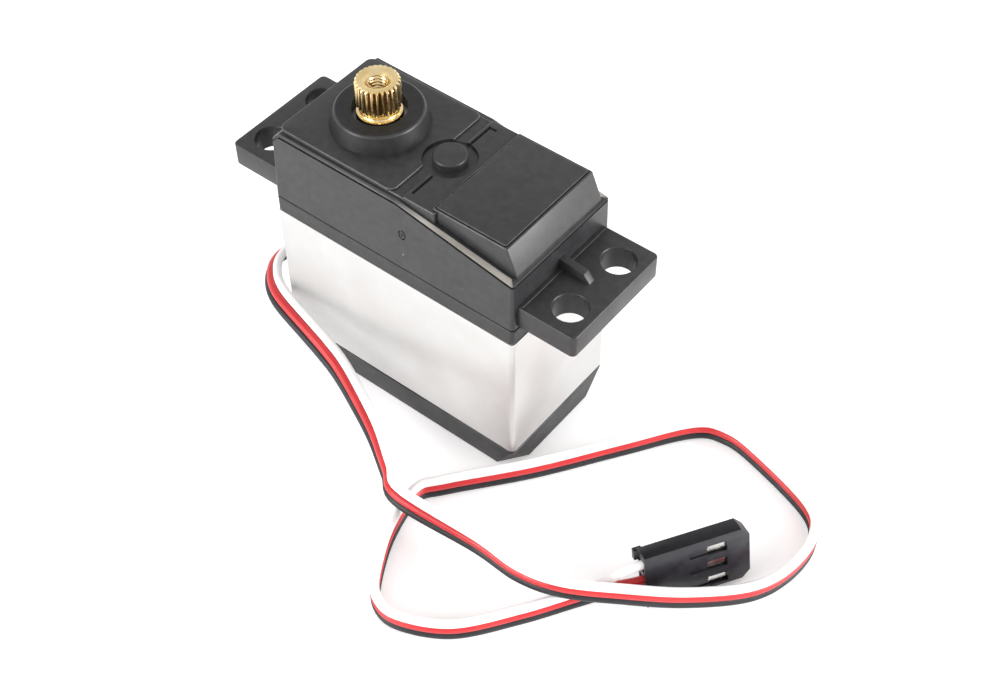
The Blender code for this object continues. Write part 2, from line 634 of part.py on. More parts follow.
def axles(steel, body):
    """The two fixed pins that the compound gears run on."""
    part("centre_axle", cylinder((CENTRE_X, 0.0), AXLE_RADIUS, AXLE_FOOT, 38.8 * MM, 20), steel, body)
    part("second_axle", cylinder(second_place(), AXLE_RADIUS, AXLE_FOOT, 36.8 * MM, 20), steel, body)


def output_gear(brass, body):
    """The output wheel, its shaft and the horn spline, in one piece with a threaded hole down the middle."""
    shaft = [(0.0, 26.3 * MM), (BUSH_JOURNAL, 26.3 * MM), (BUSH_JOURNAL, 28.3 * MM), (3.0 * MM, 28.3 * MM)]
    shaft += [(3.0 * MM, 37.4 * MM), (3.4 * MM, 37.4 * MM), (3.4 * MM, 37.8 * MM)]
    shaft += [(JOURNAL_RADIUS, 37.8 * MM), (JOURNAL_RADIUS, JOURNAL_TOP - 0.15 * MM)]
    shaft += [(JOURNAL_RADIUS - 0.15 * MM, JOURNAL_TOP), (2.45 * MM, JOURNAL_TOP)]
    shaft += [(2.45 * MM, SPLINE_FOOT + 0.3 * MM), (0.0, SPLINE_FOOT + 0.3 * MM)]
    gear = part("output_gear", turned(shaft, 32), brass, body)
    turn = mesh_angle(0.0, GEAR_3_TEETH[1], 0.0, OUTPUT_TEETH) + math.pi
    join(gear, prism(gear_outline(OUTPUT_TEETH, MODULE_4, turn), 34.8 * MM, 37.5 * MM))
    join(gear, prism(spline_outline(), SPLINE_FOOT, SPLINE_TOP))
    bore = [(0.0, 38.0 * MM), (1.3 * MM, 38.6 * MM), (1.3 * MM, SPLINE_TOP - 0.55 * MM)]
    bore += [(1.9 * MM, SPLINE_TOP + 0.05 * MM), (1.9 * MM, SPLINE_TOP + MM), (0.0, SPLINE_TOP + MM)]
    cut(gear, turned(bore, 20))
    cut(gear, cylinder((0.0, 0.0), 1.3 * MM, 25 * MM, 29 * MM, 20))


def output_bearings(steel, bronze, body, output, cage_body):
    """The ball bearing under the boss and the plain bush in the deck."""
    centre = (OUTPUT_X, 0.0)
    outer = [(4.42 * MM, BEARING_LOW), (BEARING_RADIUS, BEARING_LOW), (BEARING_RADIUS, BEARING_HIGH)]
    outer += [(4.42 * MM, BEARING_HIGH)]
    part("bearing_outer_ring", turned(outer, 40, centre), steel, body)
    bore = JOURNAL_RADIUS + RUNNING_GAP
    inner = [(bore, BEARING_LOW), (3.6 * MM, BEARING_LOW), (3.6 * MM, BEARING_HIGH), (bore, BEARING_HIGH)]
    part("bearing_inner_ring", turned(inner, 32), steel, output)
    middle = (BEARING_LOW + BEARING_HIGH) / 2
    web = [(3.9 * MM, middle - 0.2 * MM), (4.12 * MM, middle - 0.2 * MM), (4.12 * MM, middle + 0.2 * MM)]
    web += [(3.9 * MM, middle + 0.2 * MM)]
    cage = part("bearing_balls", turned(web, 36), steel, cage_body)
    for number in range(BALL_COUNT):
        x, y = arc((0.0, 0.0), BALL_CIRCLE, 360 * number / BALL_COUNT, 360, 1)[0]
        join(cage, ball((x, y, middle), BALL_RADIUS))
    bush = [(BUSH_JOURNAL + RUNNING_GAP, 26.0 * MM), (3.55 * MM, 26.0 * MM)]
    bush += [(3.55 * MM, 27.8 * MM), (BUSH_JOURNAL + RUNNING_GAP, 27.8 * MM)]
    part("output_bush", turned(bush, 32, centre), bronze, body)


# ---------------------------------------------------------------- lead and plug

def smooth_route(route, count):
    """Evenly spaced points on a smooth curve through a route's own points, in metres."""
    points = np.array(route) * MM
    ends = [2 * points[0] - points[1]], [2 * points[-1] - points[-2]]
    padded = np.vstack([ends[0], points, ends[1]])
    fine = []
    for before, first, second, after in zip(padded, padded[1:], padded[2:], padded[3:]):
        for t in np.linspace(0.0, 1.0, 12, endpoint=False):
            bend = 2 * before - 5 * first + 4 * second - after
            twist = 3 * first - before - 3 * second + after
            fine.append((2 * first + (second - before) * t + bend * t**2 + twist * t**3) / 2)
    fine = np.array(fine + [points[-1]])
    reach = np.concatenate([[0.0], np.cumsum(np.linalg.norm(np.diff(fine, axis=0), axis=1))])
    even = np.linspace(0.0, reach[-1], count)
    return np.column_stack([np.interp(even, reach, fine[:, axis]) for axis in range(3)])


def ribbon(name, route, count, finish, body):
    """Three flat-moulded wires, standing on edge along a route."""
    curve = bpy.data.curves.new(name, "CURVE")
    curve.dimensions = "3D"
    curve.twist_mode = "Z_UP"
    curve.bevel_depth = RIBBON_THICKNESS / 2
    curve.bevel_resolution = 2
    curve.extrude = (RIBBON_WIDTH - RIBBON_THICKNESS) / 2
    curve.use_fill_caps = True
    spline = curve.splines.new("POLY")
    points = smooth_route(route, count)
    spline.points.add(len(points) - 1)
    for point, place in zip(spline.points, points):
        point.co = (*place, 1.0)
    made = bpy.data.objects.new(name, curve)
    bpy.context.scene.collection.objects.link(made)
    curve.materials.append(finish)
    made.parent = body


def plug_frame():
    """Where the plug lies: on one long edge, leaning back, turned along its heading."""
    lean = Matrix.Rotation(-PLUG_LEAN, 4, "X")
    return Matrix.Translation(PLUG_CORNER) @ Matrix.Rotation(PLUG_HEADING, 4, "Z") @ lean


def lead_plug(black, silver, body):
    """The three-way plug: a housing with three channels and windows, and a terminal in each channel."""
    c, t, w = PLUG_CHAMFER, PLUG_THICKNESS, PLUG_WIDTH
    far = PLUG_LENGTH
    outline = [(0.0, 0.0), (far - c, 0.0), (far, c), (far, w - c), (far - c, w), (0.0, w)]
    shape = side_prism(outline, t / 2)
    bmesh.ops.translate(shape, verts=shape.verts, vec=(0.0, t / 2, 0.0))
    housing = part("plug_housing", shape, black, body)
    housing.matrix_local = plug_frame()
    lip = box((-0.6 * MM, t - 0.4 * MM, w - 1.6 * MM), (0.6 * MM, t + 0.4 * MM, w - 0.1 * MM))
    plug_tool(housing, "UNION", lip)
    channel = 0.85 * MM
    for number in range(3):
        height = PLUG_MIDDLE + (number - 1) * PIN_PITCH
        low = (-MM, t / 2 - channel, height - channel)
        plug_tool(housing, "DIFFERENCE", box(low, (PLUG_LENGTH + MM, t / 2 + channel, height + channel)))
        window = box((8.5 * MM, -MM, height - 0.75 * MM), (11.2 * MM, t / 2, height + 0.75 * MM))
        plug_tool(housing, "DIFFERENCE", window)
        sleeve = channel - 0.15 * MM
        low = (3.0 * MM, t / 2 - sleeve, height - sleeve)
        bar = box(low, (12.6 * MM, t / 2 + sleeve, height + sleeve))
        pin = part(f"plug_terminal_{number + 1}", bar, silver, body)
        pin.matrix_local = plug_frame()


def plug_tool(housing, kind, shape):
    """A cut or a join with its tool in the housing's own frame."""
    boolean(housing, kind, shape)
    housing.modifiers[-1].object.matrix_local = plug_frame()


# ---------------------------------------------------------------- assembly

def main():
    for old in list(bpy.data.objects):
        bpy.data.objects.remove(old)

    black = material("black_plastic", (0.035, 0.035, 0.038), 0.45)
    deck_black = material("deck_plastic", (0.04, 0.04, 0.043), 0.5)
    silver = material("silver_case", (0.86, 0.86, 0.85), 0.32, 0.9)
    steel = material("steel", (0.62, 0.62, 0.63), 0.3, 1.0)
    brass = material("brass", (0.83, 0.66, 0.32), 0.28, 1.0)
    bronze = material("bronze", (0.62, 0.43, 0.24), 0.4, 1.0)
    rubber = material("rubber", (0.03, 0.03, 0.03), 0.8)
    magnet = material("magnet", (0.12, 0.12, 0.13), 0.5, 0.3)
    copper = material("copper", (0.78, 0.45, 0.3), 0.35, 1.0)
    green = material("circuit_board", (0.02, 0.16, 0.07), 0.5)
    chip = material("chip", (0.02, 0.02, 0.02), 0.4)
    tin = material("tinned_metal", (0.78, 0.78, 0.78), 0.25, 1.0)
    wires = material("lead_wires", (0.7, 0.06, 0.05), 0.45)
    plug = material("plug_plastic", (0.025, 0.025, 0.03), 0.4)

    case = axis_empty("case")
    output = axis_empty("output", OUTPUT_X)
    bodies = {
        "gear_1": axis_empty("gear_1_axis", CENTRE_X),
        "gear_2": axis_empty("gear_2_axis", *second_place()),
        "gear_3": axis_empty("gear_3_axis", CENTRE_X),
        "rotor": axis_empty("rotor_axis", *motor_place()),
        "cage": axis_empty("cage_axis", OUTPUT_X),
    }

    bottom_cover(black, case)
    middle_case(silver, case)
    gear_deck(deck_black, case)
    upper_case(black, case)
    case_screws(steel, case)
    lead_grommet(rubber, case)
    motor_stator(steel, black, magnet, copper, case)
    motor_rotor(steel, brass, bodies["rotor"])
    position_sensor(deck_black, copper, case, output)
    control_board(green, chip, tin, case)
    inner_wires(wires, case)
    axles(steel, case)
    gear_train(steel, brass, bodies)
    output_gear(brass, output)
    output_bearings(steel, bronze, case, output, bodies["cage"])
    ribbon("lead_ribbon", LEAD_ROUTE_MM, LEAD_POINTS, wires, case)
    lead_plug(plug, tin, case)


main()
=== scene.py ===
"""The looks of a standard-size servo motor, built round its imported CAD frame. Units are metres."""

import json
import math

import bmesh
import bpy
import numpy as np
from mathutils import Matrix, Vector


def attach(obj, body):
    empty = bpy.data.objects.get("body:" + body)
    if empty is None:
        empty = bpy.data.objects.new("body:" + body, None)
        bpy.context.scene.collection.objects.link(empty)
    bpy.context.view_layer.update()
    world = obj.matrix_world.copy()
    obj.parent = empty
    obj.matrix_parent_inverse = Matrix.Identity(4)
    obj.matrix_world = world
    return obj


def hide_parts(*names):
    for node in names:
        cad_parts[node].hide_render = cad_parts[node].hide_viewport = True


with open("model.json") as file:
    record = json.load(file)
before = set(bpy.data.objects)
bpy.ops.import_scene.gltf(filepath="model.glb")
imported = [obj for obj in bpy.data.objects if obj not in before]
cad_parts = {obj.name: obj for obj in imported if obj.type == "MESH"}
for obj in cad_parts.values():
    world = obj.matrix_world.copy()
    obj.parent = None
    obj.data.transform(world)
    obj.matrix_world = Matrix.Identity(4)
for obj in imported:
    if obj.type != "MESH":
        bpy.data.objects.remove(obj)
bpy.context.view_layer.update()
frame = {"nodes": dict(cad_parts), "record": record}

MM = 0.001
SCENE = bpy.context.scene

# ---------------------------------------------------------------- camera


def add_camera():
    """The viewing angle: low right of the case, looking down at it."""
    azimuth, elevation, roll = (math.radians(a) for a in (38.738, 49.022, -0.593))
    back = Vector(
        (
            math.sin(azimuth) * math.cos(elevation),
            -math.cos(azimuth) * math.cos(elevation),
            math.sin(elevation),
        )
    )
    right = Vector((math.cos(azimuth), math.sin(azimuth), 0.0))
    up = back.cross(right)
    across = right * math.cos(roll) + up * math.sin(roll)
    upward = up * math.cos(roll) - right * math.sin(roll)
    turn = Matrix((across, upward, back)).transposed().to_4x4()
    lens = bpy.data.cameras.new("camera")
    lens.lens = 58.34
    lens.sensor_width = 36.0
    lens.clip_start = 0.01
    camera = bpy.data.objects.new("camera", lens)
    camera.matrix_world = Matrix.Translation((100.43 * MM, -112.91 * MM, 177.66 * MM)) @ turn
    SCENE.collection.objects.link(camera)
    SCENE.camera = camera


add_camera()

# ---------------------------------------------------------------- outlines


def arc(centre, radius, start, stop, steps):
    """Points along an arc, angles in degrees."""
    angles = np.radians(np.linspace(start, stop, steps + 1))
    return [(centre[0] + radius * math.cos(a), centre[1] + radius * math.sin(a)) for a in angles]


def circle(centre, radius, sides):
    return arc(centre, radius, 0.0, 360.0, sides)[:-1]


def rounded_box(low, high, radius, inset=0.0, steps=8, bends=()):
    """A rounded rectangle, counter-clockwise, with extra points on its long sides at each bend's x."""
    radius = max(radius - inset, 0.02 * MM)
    x0, y0 = low[0] + inset + radius, low[1] + inset + radius
    x1, y1 = high[0] - inset - radius, high[1] - inset - radius
    points = arc((x1, y0), radius, -90, 0, steps) + arc((x1, y1), radius, 0, 90, steps)
    points += [(x, y1 + radius) for x in reversed(bends)]
    points += arc((x0, y1), radius, 90, 180, steps) + arc((x0, y0), radius, 180, 270, steps)
    return points + [(x, y0 - radius) for x in bends]


def gear_outline(teeth, module, turn=0.0):
    """A spur gear's outline, its first tooth turned from +X."""
    pitch = teeth * module / 2
    radii = (pitch - 1.1 * module, pitch - 0.4 * module, pitch, pitch + 0.4 * module, pitch + 0.82 * module)
    pressure = math.radians(20)
    base = pitch * math.cos(pressure)
    halves = []
    for radius in radii:
        local = math.acos(min(1.0, base / max(radius, pitch * 0.955)))
        spread = math.tan(pressure) - pressure - math.tan(local) + local
        halves.append(math.pi / (2 * teeth) + spread - 0.06 * module / pitch)
    points = []
    for tooth in range(teeth):
        middle = turn + 2 * math.pi * tooth / teeth
        flank = list(zip(radii, halves))
        points += [(r * math.cos(middle - h), r * math.sin(middle - h)) for r, h in flank]
        points += [(r * math.cos(middle + h), r * math.sin(middle + h)) for r, h in reversed(flank)]
    return points


# ---------------------------------------------------------------- solids


def loft(rings, caps=True):
    """A closed solid through rings of equal length, each a list of (x, y, z), from the bottom up."""
    made = bmesh.new()
    placed = [[made.verts.new(point) for point in ring] for ring in rings]
    for low, high in zip(placed, placed[1:]):
        for i in range(len(low)):
            j = (i + 1) % len(low)
            made.faces.new((low[i], low[j], high[j], high[i]))
    if caps:
        made.faces.new(list(reversed(placed[0])))
        made.faces.new(placed[-1])
    return made


def at(outline, height):
    return [(x, y, height) for x, y in outline]


def prism(outline, bottom, top):
    return loft([at(outline, bottom), at(outline, top)])


def box(low, high):
    corners = [(low[0], low[1]), (high[0], low[1]), (high[0], high[1]), (low[0], high[1])]
    return prism(corners, low[2], high[2])


def soft_prism(low, high, radius, bottom, top, round_top, round_bottom=0.0, steps=3):
    """A rounded rectangular block whose upper and lower edges are rounded too."""
    rings = []
    if round_bottom:
        for k in range(steps):
            a = math.radians(90 * k / steps)
            inset, lift = round_bottom * (1 - math.sin(a)), round_bottom * (1 - math.cos(a))
            rings.append(at(rounded_box(low, high, radius, inset), bottom + lift))
        rings.append(at(rounded_box(low, high, radius), bottom + round_bottom))
    else:
        rings.append(at(rounded_box(low, high, radius), bottom))
    for k in range(steps + 1):
        a = math.radians(90 * k / steps)
        inset, drop = round_top * (1 - math.cos(a)), round_top * (1 - math.sin(a))
        rings.append(at(rounded_box(low, high, radius, inset), top - drop))
    return loft(rings)


def side_prism(outline, half_width):
    """A prism of an XZ outline, as wide as twice the half width along Y."""
    made = prism(outline, -half_width, half_width)
    bmesh.ops.rotate(made, verts=made.verts, cent=(0, 0, 0), matrix=Matrix.Rotation(math.radians(90), 3, "X"))
    return made


def turned(profile, sides, centre=(0.0, 0.0)):
    """A solid of revolution from (radius, height) points. It closes on the axis, or as a ring."""
    made = bmesh.new()
    rings = []
    for radius, height in profile:
        if radius == 0.0:
            rings.append([made.verts.new((centre[0], centre[1], height))])
        else:
            rings.append([made.verts.new((x, y, height)) for x, y in circle(centre, radius, sides)])
    spans = list(zip(rings, rings[1:]))
    if profile[0][0] > 0.0:
        spans.append((rings[-1], rings[0]))
    for first, second in spans:
        for i in range(sides):
            j = (i + 1) % sides
            corners = [first[i % len(first)], first[j % len(first)]]
            corners += [second[j % len(second)], second[i % len(second)]]
            made.faces.new(list(dict.fromkeys(corners)))
    bmesh.ops.recalc_face_normals(made, faces=made.faces)
    return made


def cylinder(centre, radius, bottom, top, sides=48):
    return prism(circle(centre, radius, sides), bottom, top)


def rounded_profile(corners):
    """A turned profile with some corners rounded. Each corner is (radius, height, fillet)."""
    points = []
    for index, (r, z, fillet) in enumerate(corners):
        if not fillet:
            points.append((r, z))
            continue
        here = Vector((r, z))
        before = (Vector(corners[index - 1][:2]) - here).normalized()
        after = (Vector(corners[(index + 1) % len(corners)][:2]) - here).normalized()
        half = before.angle(after) / 2
        reach = fillet / math.tan(half)
        middle = here + (before + after).normalized() * (fillet / math.sin(half))
        first, last = here + before * reach - middle, here + after * reach - middle
        start, swing = math.atan2(first.y, first.x), first.angle_signed(last)
        for k in range(6):
            a = start - swing * k / 5
            points.append((middle.x + fillet * math.cos(a), middle.y + fillet * math.sin(a)))
    return points


# ---------------------------------------------------------------- objects


def made_object(name, shape, recalc=False):
    """An object of a bmesh."""
    if recalc:
        bmesh.ops.recalc_face_normals(shape, faces=shape.faces)
    mesh = bpy.data.meshes.new(name)
    shape.to_mesh(mesh)
    shape.free()
    made = bpy.data.objects.new(name, mesh)
    SCENE.collection.objects.link(made)
    return made


def combine(target, operation, shapes):
    """Booleans applied to the target's mesh, one after another."""
    tools = []
    for shape in shapes:
        tool = made_object("tool", shape, recalc=True)
        step = target.modifiers.new("step", "BOOLEAN")
        step.operation = operation
        step.object = tool
        step.solver = "EXACT"
        tools.append(tool)
    apply_modifiers(target)
    for tool in tools:
        bpy.data.objects.remove(tool)


def apply_modifiers(target):
    bpy.context.view_layer.update()
    graph = bpy.context.evaluated_depsgraph_get()
    mesh = bpy.data.meshes.new_from_object(target.evaluated_get(graph))
    target.modifiers.clear()
    target.data = mesh


def cut(target, *shapes):
    combine(target, "DIFFERENCE", shapes)


def join(target, *shapes):
    combine(target, "UNION", shapes)


def as_shape(target):
    """A finished object turned back into a loose shape."""
    made = bmesh.new()
    made.from_mesh(target.data)
    bpy.data.objects.remove(target)
    return made


def soften(target, width, segments=2, angle=40):
    """Rounds the sharp edges of a finished mesh."""
    step = target.modifiers.new("soften", "BEVEL")
    step.width = width
    step.segments = segments
    step.limit_method = "ANGLE"
    step.angle_limit = math.radians(angle)
    step.use_clamp_overlap = True
    apply_modifiers(target)


def place(target, body, finish, angle=35, replaces=()):
    """Shades a piece, gives it its finish and hangs it on its body."""
    if target.type == "MESH":
        target.data.shade_smooth()
        target.data.set_sharp_from_angle(angle=math.radians(angle))
    if finish is not None:
        target.data.materials.clear()
        target.data.materials.append(finish)
    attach(target, body)
    if replaces:
        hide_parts(*replaces)
    return target


def refinish(target, finish, chosen):
    """Gives the faces that the test chooses a finish of their own."""
    target.data.materials.append(finish)
    slot = len(target.data.materials) - 1
    for face in target.data.polygons:
        if chosen(face.center, face.normal):
            face.material_index = slot


# ---------------------------------------------------------------- materials


class Surface:
    """A Principled material and short ways to add to its nodes."""

    def __init__(self, name, colour, roughness, metallic=0.0, specular=0.5):
        self.material = bpy.data.materials.new(name)
        self.material.use_nodes = True
        self.tree = self.material.node_tree
        self.shader = self.tree.nodes["Principled BSDF"]
        self.set("Base Color", (*colour, 1.0))
        self.set("Roughness", roughness)
        self.set("Metallic", metallic)
        self.set("Specular IOR Level", specular)
        self.material.diffuse_color = (*colour, 1.0)
        self.place = self.node("ShaderNodeTexCoord").outputs["Object"]
        self.normal = None

    def node(self, kind, **settings):
        made = self.tree.nodes.new(kind)
        for key, value in settings.items():
            setattr(made, key, value)
        return made

    def link(self, source, target):
        self.tree.links.new(source, target)

    def set(self, socket, value):
        self.shader.inputs[socket].default_value = value

    def stretched(self, scale):
        """The object's own coordinates, stretched."""
        mapping = self.node("ShaderNodeMapping")
        mapping.inputs["Scale"].default_value = scale
        self.link(self.place, mapping.inputs["Vector"])
        return mapping.outputs["Vector"]

    def noise(self, scale, detail=2.0, stretch=None, rough=0.5):
        made = self.node("ShaderNodeTexNoise")
        made.inputs["Scale"].default_value = scale
        made.inputs["Detail"].default_value = detail
        made.inputs["Roughness"].default_value = rough
        self.link(self.stretched(stretch) if stretch else self.place, made.inputs["Vector"])
        return made.outputs["Fac"]

    def ramp(self, source, low, high, first, last):
        """Maps a value's range to another."""
        made = self.node("ShaderNodeMapRange")
        for name, value in (("From Min", low), ("From Max", high), ("To Min", first), ("To Max", last)):
            made.inputs[name].default_value = value
        self.link(source, made.inputs["Value"])
        return made.outputs["Result"]

    def blend(self, factor, first, second):
        """Mixes two colours, or a socket and a colour."""
        made = self.node("ShaderNodeMix", data_type="RGBA")
        self.link(factor, made.inputs["Factor"])
        colour_a, colour_b, colour_result = 6, 7, 2
        for value, socket in ((first, colour_a), (second, colour_b)):
            if isinstance(value, tuple):
                made.inputs[socket].default_value = (*value, 1.0)
            else:
                self.link(value, made.inputs[socket])
        return made.outputs[colour_result]

    def colour(self, source):
        self.link(source, self.shader.inputs["Base Color"])

    def roughness(self, source):
        self.link(source, self.shader.inputs["Roughness"])

    def bump(self, source, distance, strength=1.0):
        """Adds a bump, in metres of height, on top of those before it."""
        made = self.node("ShaderNodeBump")
        made.inputs["Strength"].default_value = strength
        made.inputs["Distance"].default_value = distance
        self.link(source, made.inputs["Height"])
        if self.normal is not None:
            self.link(self.normal, made.inputs["Normal"])
        self.normal = made.outputs["Normal"]
        self.link(self.normal, self.shader.inputs["Normal"])

    def specks(self, scale, size):
        """Rare small spots: 1 on a speck and 0 elsewhere."""
        cells = self.node("ShaderNodeTexVoronoi", feature="F1")
        cells.inputs["Scale"].default_value = scale
        self.link(self.place, cells.inputs["Vector"])
        near = self.ramp(cells.outputs["Distance"], size, size * 0.5, 0.0, 1.0)
        parted = self.node("ShaderNodeSeparateColor")
        self.link(cells.outputs["Color"], parted.inputs["Color"])
        chosen = self.ramp(parted.outputs["Red"], 0.93, 0.95, 0.0, 1.0)
        both = self.node("ShaderNodeMath", operation="MULTIPLY")
        self.link(near, both.inputs[0])
        self.link(chosen, both.inputs[1])
        return both.outputs["Value"]


def moulded(name, dark, light, roughness, grain=3600.0, depth=0.012 * MM, dust=0.5, specular=0.5):
    """Black moulded plastic: fine spark-eroded grain, slow sheen changes and a little dust."""
    made = Surface(name, dark, roughness, specular=specular)
    tone = made.ramp(made.noise(900.0, 4.0), 0.35, 0.65, 0.0, 1.0)
    base = made.blend(tone, dark, light)
    spots = made.specks(420.0, 0.075)
    faint = made.ramp(spots, 0.0, 1.0, 0.0, dust)
    made.colour(made.blend(faint, base, (0.32, 0.31, 0.29)))
    made.roughness(made.ramp(made.noise(260.0, 3.0), 0.3, 0.7, roughness - 0.05, roughness + 0.06))
    made.bump(made.noise(grain, 3.0, rough=0.6), depth)
    return made.material


def painted_brow_highlight(name):
    """Painted highlight: plastic coloured pale, as if lit, along the part of an edge past the wall's bend,
    with fine streaks along it.
    """
    made = Surface(name, (0.2, 0.18, 0.16), 0.4)
    parted = made.node("ShaderNodeSeparateXYZ")
    made.link(made.place, parted.inputs["Vector"])
    # the pale painted highlight fades in along X past the wall's bend
    highlight_fade = made.ramp(parted.outputs["X"], 1.5 * MM, 5.5 * MM, 0.0, 1.0)
    streaks = made.ramp(made.noise(900.0, 4.0, stretch=(0.12, 1.0, 1.0)), 0.3, 0.7, 0.0, 1.0)
    pale = made.blend(streaks, (0.19, 0.17, 0.145), (0.31, 0.29, 0.265))
    made.colour(made.blend(highlight_fade, (0.045, 0.043, 0.042), pale))
    made.roughness(made.ramp(made.noise(700.0, 2.0), 0.3, 0.7, 0.36, 0.5))
    made.bump(made.noise(2600.0, 3.0), 0.012 * MM)
    return made.material


def machined(name, dark, light, roughness):
    """Turned or ground metal: fine tool lines, slightly uneven colour and roughness."""
    made = Surface(name, light, roughness, metallic=1.0)
    tone = made.ramp(made.noise(350.0, 3.0), 0.35, 0.65, 0.0, 1.0)
    made.colour(made.blend(tone, dark, light))
    made.roughness(made.ramp(made.noise(800.0, 3.0), 0.3, 0.7, roughness - 0.06, roughness + 0.08))
    made.bump(made.noise(1.0, 2.0, stretch=(2500.0, 2500.0, 60.0)), 0.003 * MM)
    return made.material


def blasted(name):
    """Bead-blasted, clear anodised aluminium: near white, satin, with a very fine even grain."""
    made = Surface(name, (0.6, 0.595, 0.585), 0.36, metallic=0.85)
    tone = made.ramp(made.noise(160.0, 4.0), 0.35, 0.65, 0.0, 1.0)
    made.colour(made.blend(tone, (0.56, 0.55, 0.54), (0.6, 0.595, 0.585)))
    made.roughness(made.ramp(made.noise(3000.0, 3.0), 0.3, 0.7, 0.31, 0.41))
    made.bump(made.noise(6500.0, 2.0), 0.006 * MM)
    return made.material


def insulation(name, dark, light, roughness=0.38):
    """Soft wire insulation: smooth, with faint lengthwise unevenness."""
    made = Surface(name, light, roughness)
    tone = made.ramp(made.noise(220.0, 3.0), 0.35, 0.65, 0.0, 1.0)
    made.colour(made.blend(tone, dark, light))
    made.roughness(made.ramp(made.noise(900.0, 2.0), 0.3, 0.7, roughness - 0.05, roughness + 0.08))
    made.bump(made.noise(1500.0, 2.0), 0.01 * MM)
    return made.material


def board_mask(name):
    """Green solder mask over copper tracks."""
    made = Surface(name, (0.01, 0.14, 0.05), 0.35)
    tracks = made.node("ShaderNodeTexBrick")
    tracks.inputs["Scale"].default_value = 320.0
    tracks.inputs["Mortar Size"].default_value = 0.03
    made.link(made.place, tracks.inputs["Vector"])
    made.colour(made.blend(tracks.outputs["Fac"], (0.008, 0.11, 0.04), (0.02, 0.22, 0.08)))
    made.roughness(made.ramp(made.noise(700.0, 2.0), 0.3, 0.7, 0.28, 0.45))
    made.bump(tracks.outputs["Fac"], 0.02 * MM)
    return made.material


FINE_GRAIN = 0.006 * MM
BLACK = moulded("black_plastic_look", (0.016, 0.0155, 0.017), (0.024, 0.0235, 0.025), 0.4)
DECK = moulded("deck_plastic_look", (0.016, 0.0155, 0.0165), (0.023, 0.0225, 0.0235), 0.5)
COVER = moulded("cover_plastic_look", (0.011, 0.0105, 0.0115), (0.017, 0.0165, 0.0175), 0.46)
PLUG = moulded("plug_plastic_look", (0.012, 0.012, 0.016), (0.02, 0.02, 0.025), 0.33, 2400.0, FINE_GRAIN)
# painted shade: a darker black for the plug's upward faces than for its sides
PLUG_TOP_SHADE = moulded(
    "plug_top_painted_shade_look", (0.006, 0.006, 0.008), (0.01, 0.01, 0.013), 0.4, depth=FINE_GRAIN, specular=0.2
)
# painted highlight: a pale colour on the slanted brow strip stands in for the light it catches
BROW_HIGHLIGHT = painted_brow_highlight("painted_highlight_brow_look")
# painted highlight: a lighter black on the rounded panel edges stands in for their edge glints
EDGE_HIGHLIGHT = moulded("painted_highlight_edge_look", (0.05, 0.05, 0.052), (0.085, 0.084, 0.086), 0.3, dust=0.2)
BOSS_FACE = moulded(
    "boss_face_look", (0.009, 0.0088, 0.0095), (0.014, 0.0138, 0.0145), 0.5, dust=0.4, specular=0.32
)
SLEEVE = blasted("silver_case_look")
# painted shade: a dark brown brass for the flute valleys of the spline
FLUTE_SHADE = machined("flute_brass_painted_shade_look", (0.2, 0.1, 0.04), (0.38, 0.23, 0.1), 0.36)
BRASS = machined("brass_look", (0.76, 0.57, 0.27), (0.88, 0.71, 0.4), 0.22)
# painted shade: the steel is coloured far darker than bare steel, so the metal in the gap round the output
# shaft reads as shaded
STEEL_DARKENED_FOR_SHADE = machined("steel_painted_shade_look", (0.16, 0.16, 0.165), (0.26, 0.26, 0.265), 0.34)
BRONZE = machined("bronze_look", (0.5, 0.33, 0.17), (0.66, 0.47, 0.27), 0.42)
COPPER = machined("copper_look", (0.7, 0.38, 0.24), (0.84, 0.52, 0.36), 0.32)
TIN = machined("tin_look", (0.74, 0.73, 0.7), (0.86, 0.85, 0.82), 0.24)
MAGNET = moulded("magnet_look", (0.06, 0.06, 0.065), (0.1, 0.1, 0.105), 0.55)
RUBBER = moulded("rubber_look", (0.018, 0.018, 0.018), (0.028, 0.028, 0.028), 0.7)
CHIP = moulded("chip_look", (0.012, 0.012, 0.012), (0.02, 0.02, 0.02), 0.4)
BOARD = board_mask("board_look")
WIRE_WHITE = insulation("wire_white_look", (0.86, 0.85, 0.84), (0.93, 0.92, 0.91))
WIRE_RED = insulation("wire_red_look", (0.5, 0.016, 0.02), (0.58, 0.025, 0.028))
WIRE_BLACK = insulation("wire_black_look", (0.006, 0.0065, 0.009), (0.012, 0.0125, 0.016), 0.5)

# ---------------------------------------------------------------- lead

LEAD_ROUTE_MM = [
    (-22.7, 0.0, 6.4), (-25.3, 0.0, 6.5), (-27.0, -1.7, 7.2), (-27.2, -4.4, 8.0),
    (-26.2, -6.9, 8.9), (-24.6, -9.1, 9.6), (-22.3, -11.1, 10.0), (-19.1, -12.6, 10.1),
    (-13.2, -14.0, 9.5), (-9.5, -14.8, 8.9), (-5.8, -15.8, 8.2), (-0.9, -17.8, 7.3),
    (4.3, -20.3, 6.5), (9.4, -23.5, 5.9), (13.3, -25.8, 5.9), (25.4, -24.7, 5.0),
    (32.3, -25.0, 5.3), (38.2, -23.8, 5.9), (44.4, -19.8, 5.4), (50.6, -14.3, 3.7),
    (56.1, -7.7, 2.2), (58.3, -2.0, 1.95), (58.2, 3.7, 1.95), (55.2, 7.7, 1.95),
    (45.1, 11.0, 1.95), (39.8, 11.6, 1.95), (35.7, 9.6, 1.95), (29.7, 1.1, 1.95),
    (22.7, -9.0, 1.95), (15.1, -18.4, 1.95), (12.9, -22.0, 1.95), (14.2, -28.6, 1.95),
    (17.1, -34.6, 1.95), (19.6, -37.6, 1.95), (23.4, -38.2, 1.95), (29.7, -35.0, 1.95),
    (35.0, -28.3, 1.95), (39.1, -22.2, 2.2), (44.0, -16.6, 4.3),
]
WIRE_RADIUS = 0.63 * MM
WIRE_PITCH = 1.25 * MM
PIN_PITCH = 2.54 * MM
PLUG_MIDDLE = 3.75 * MM


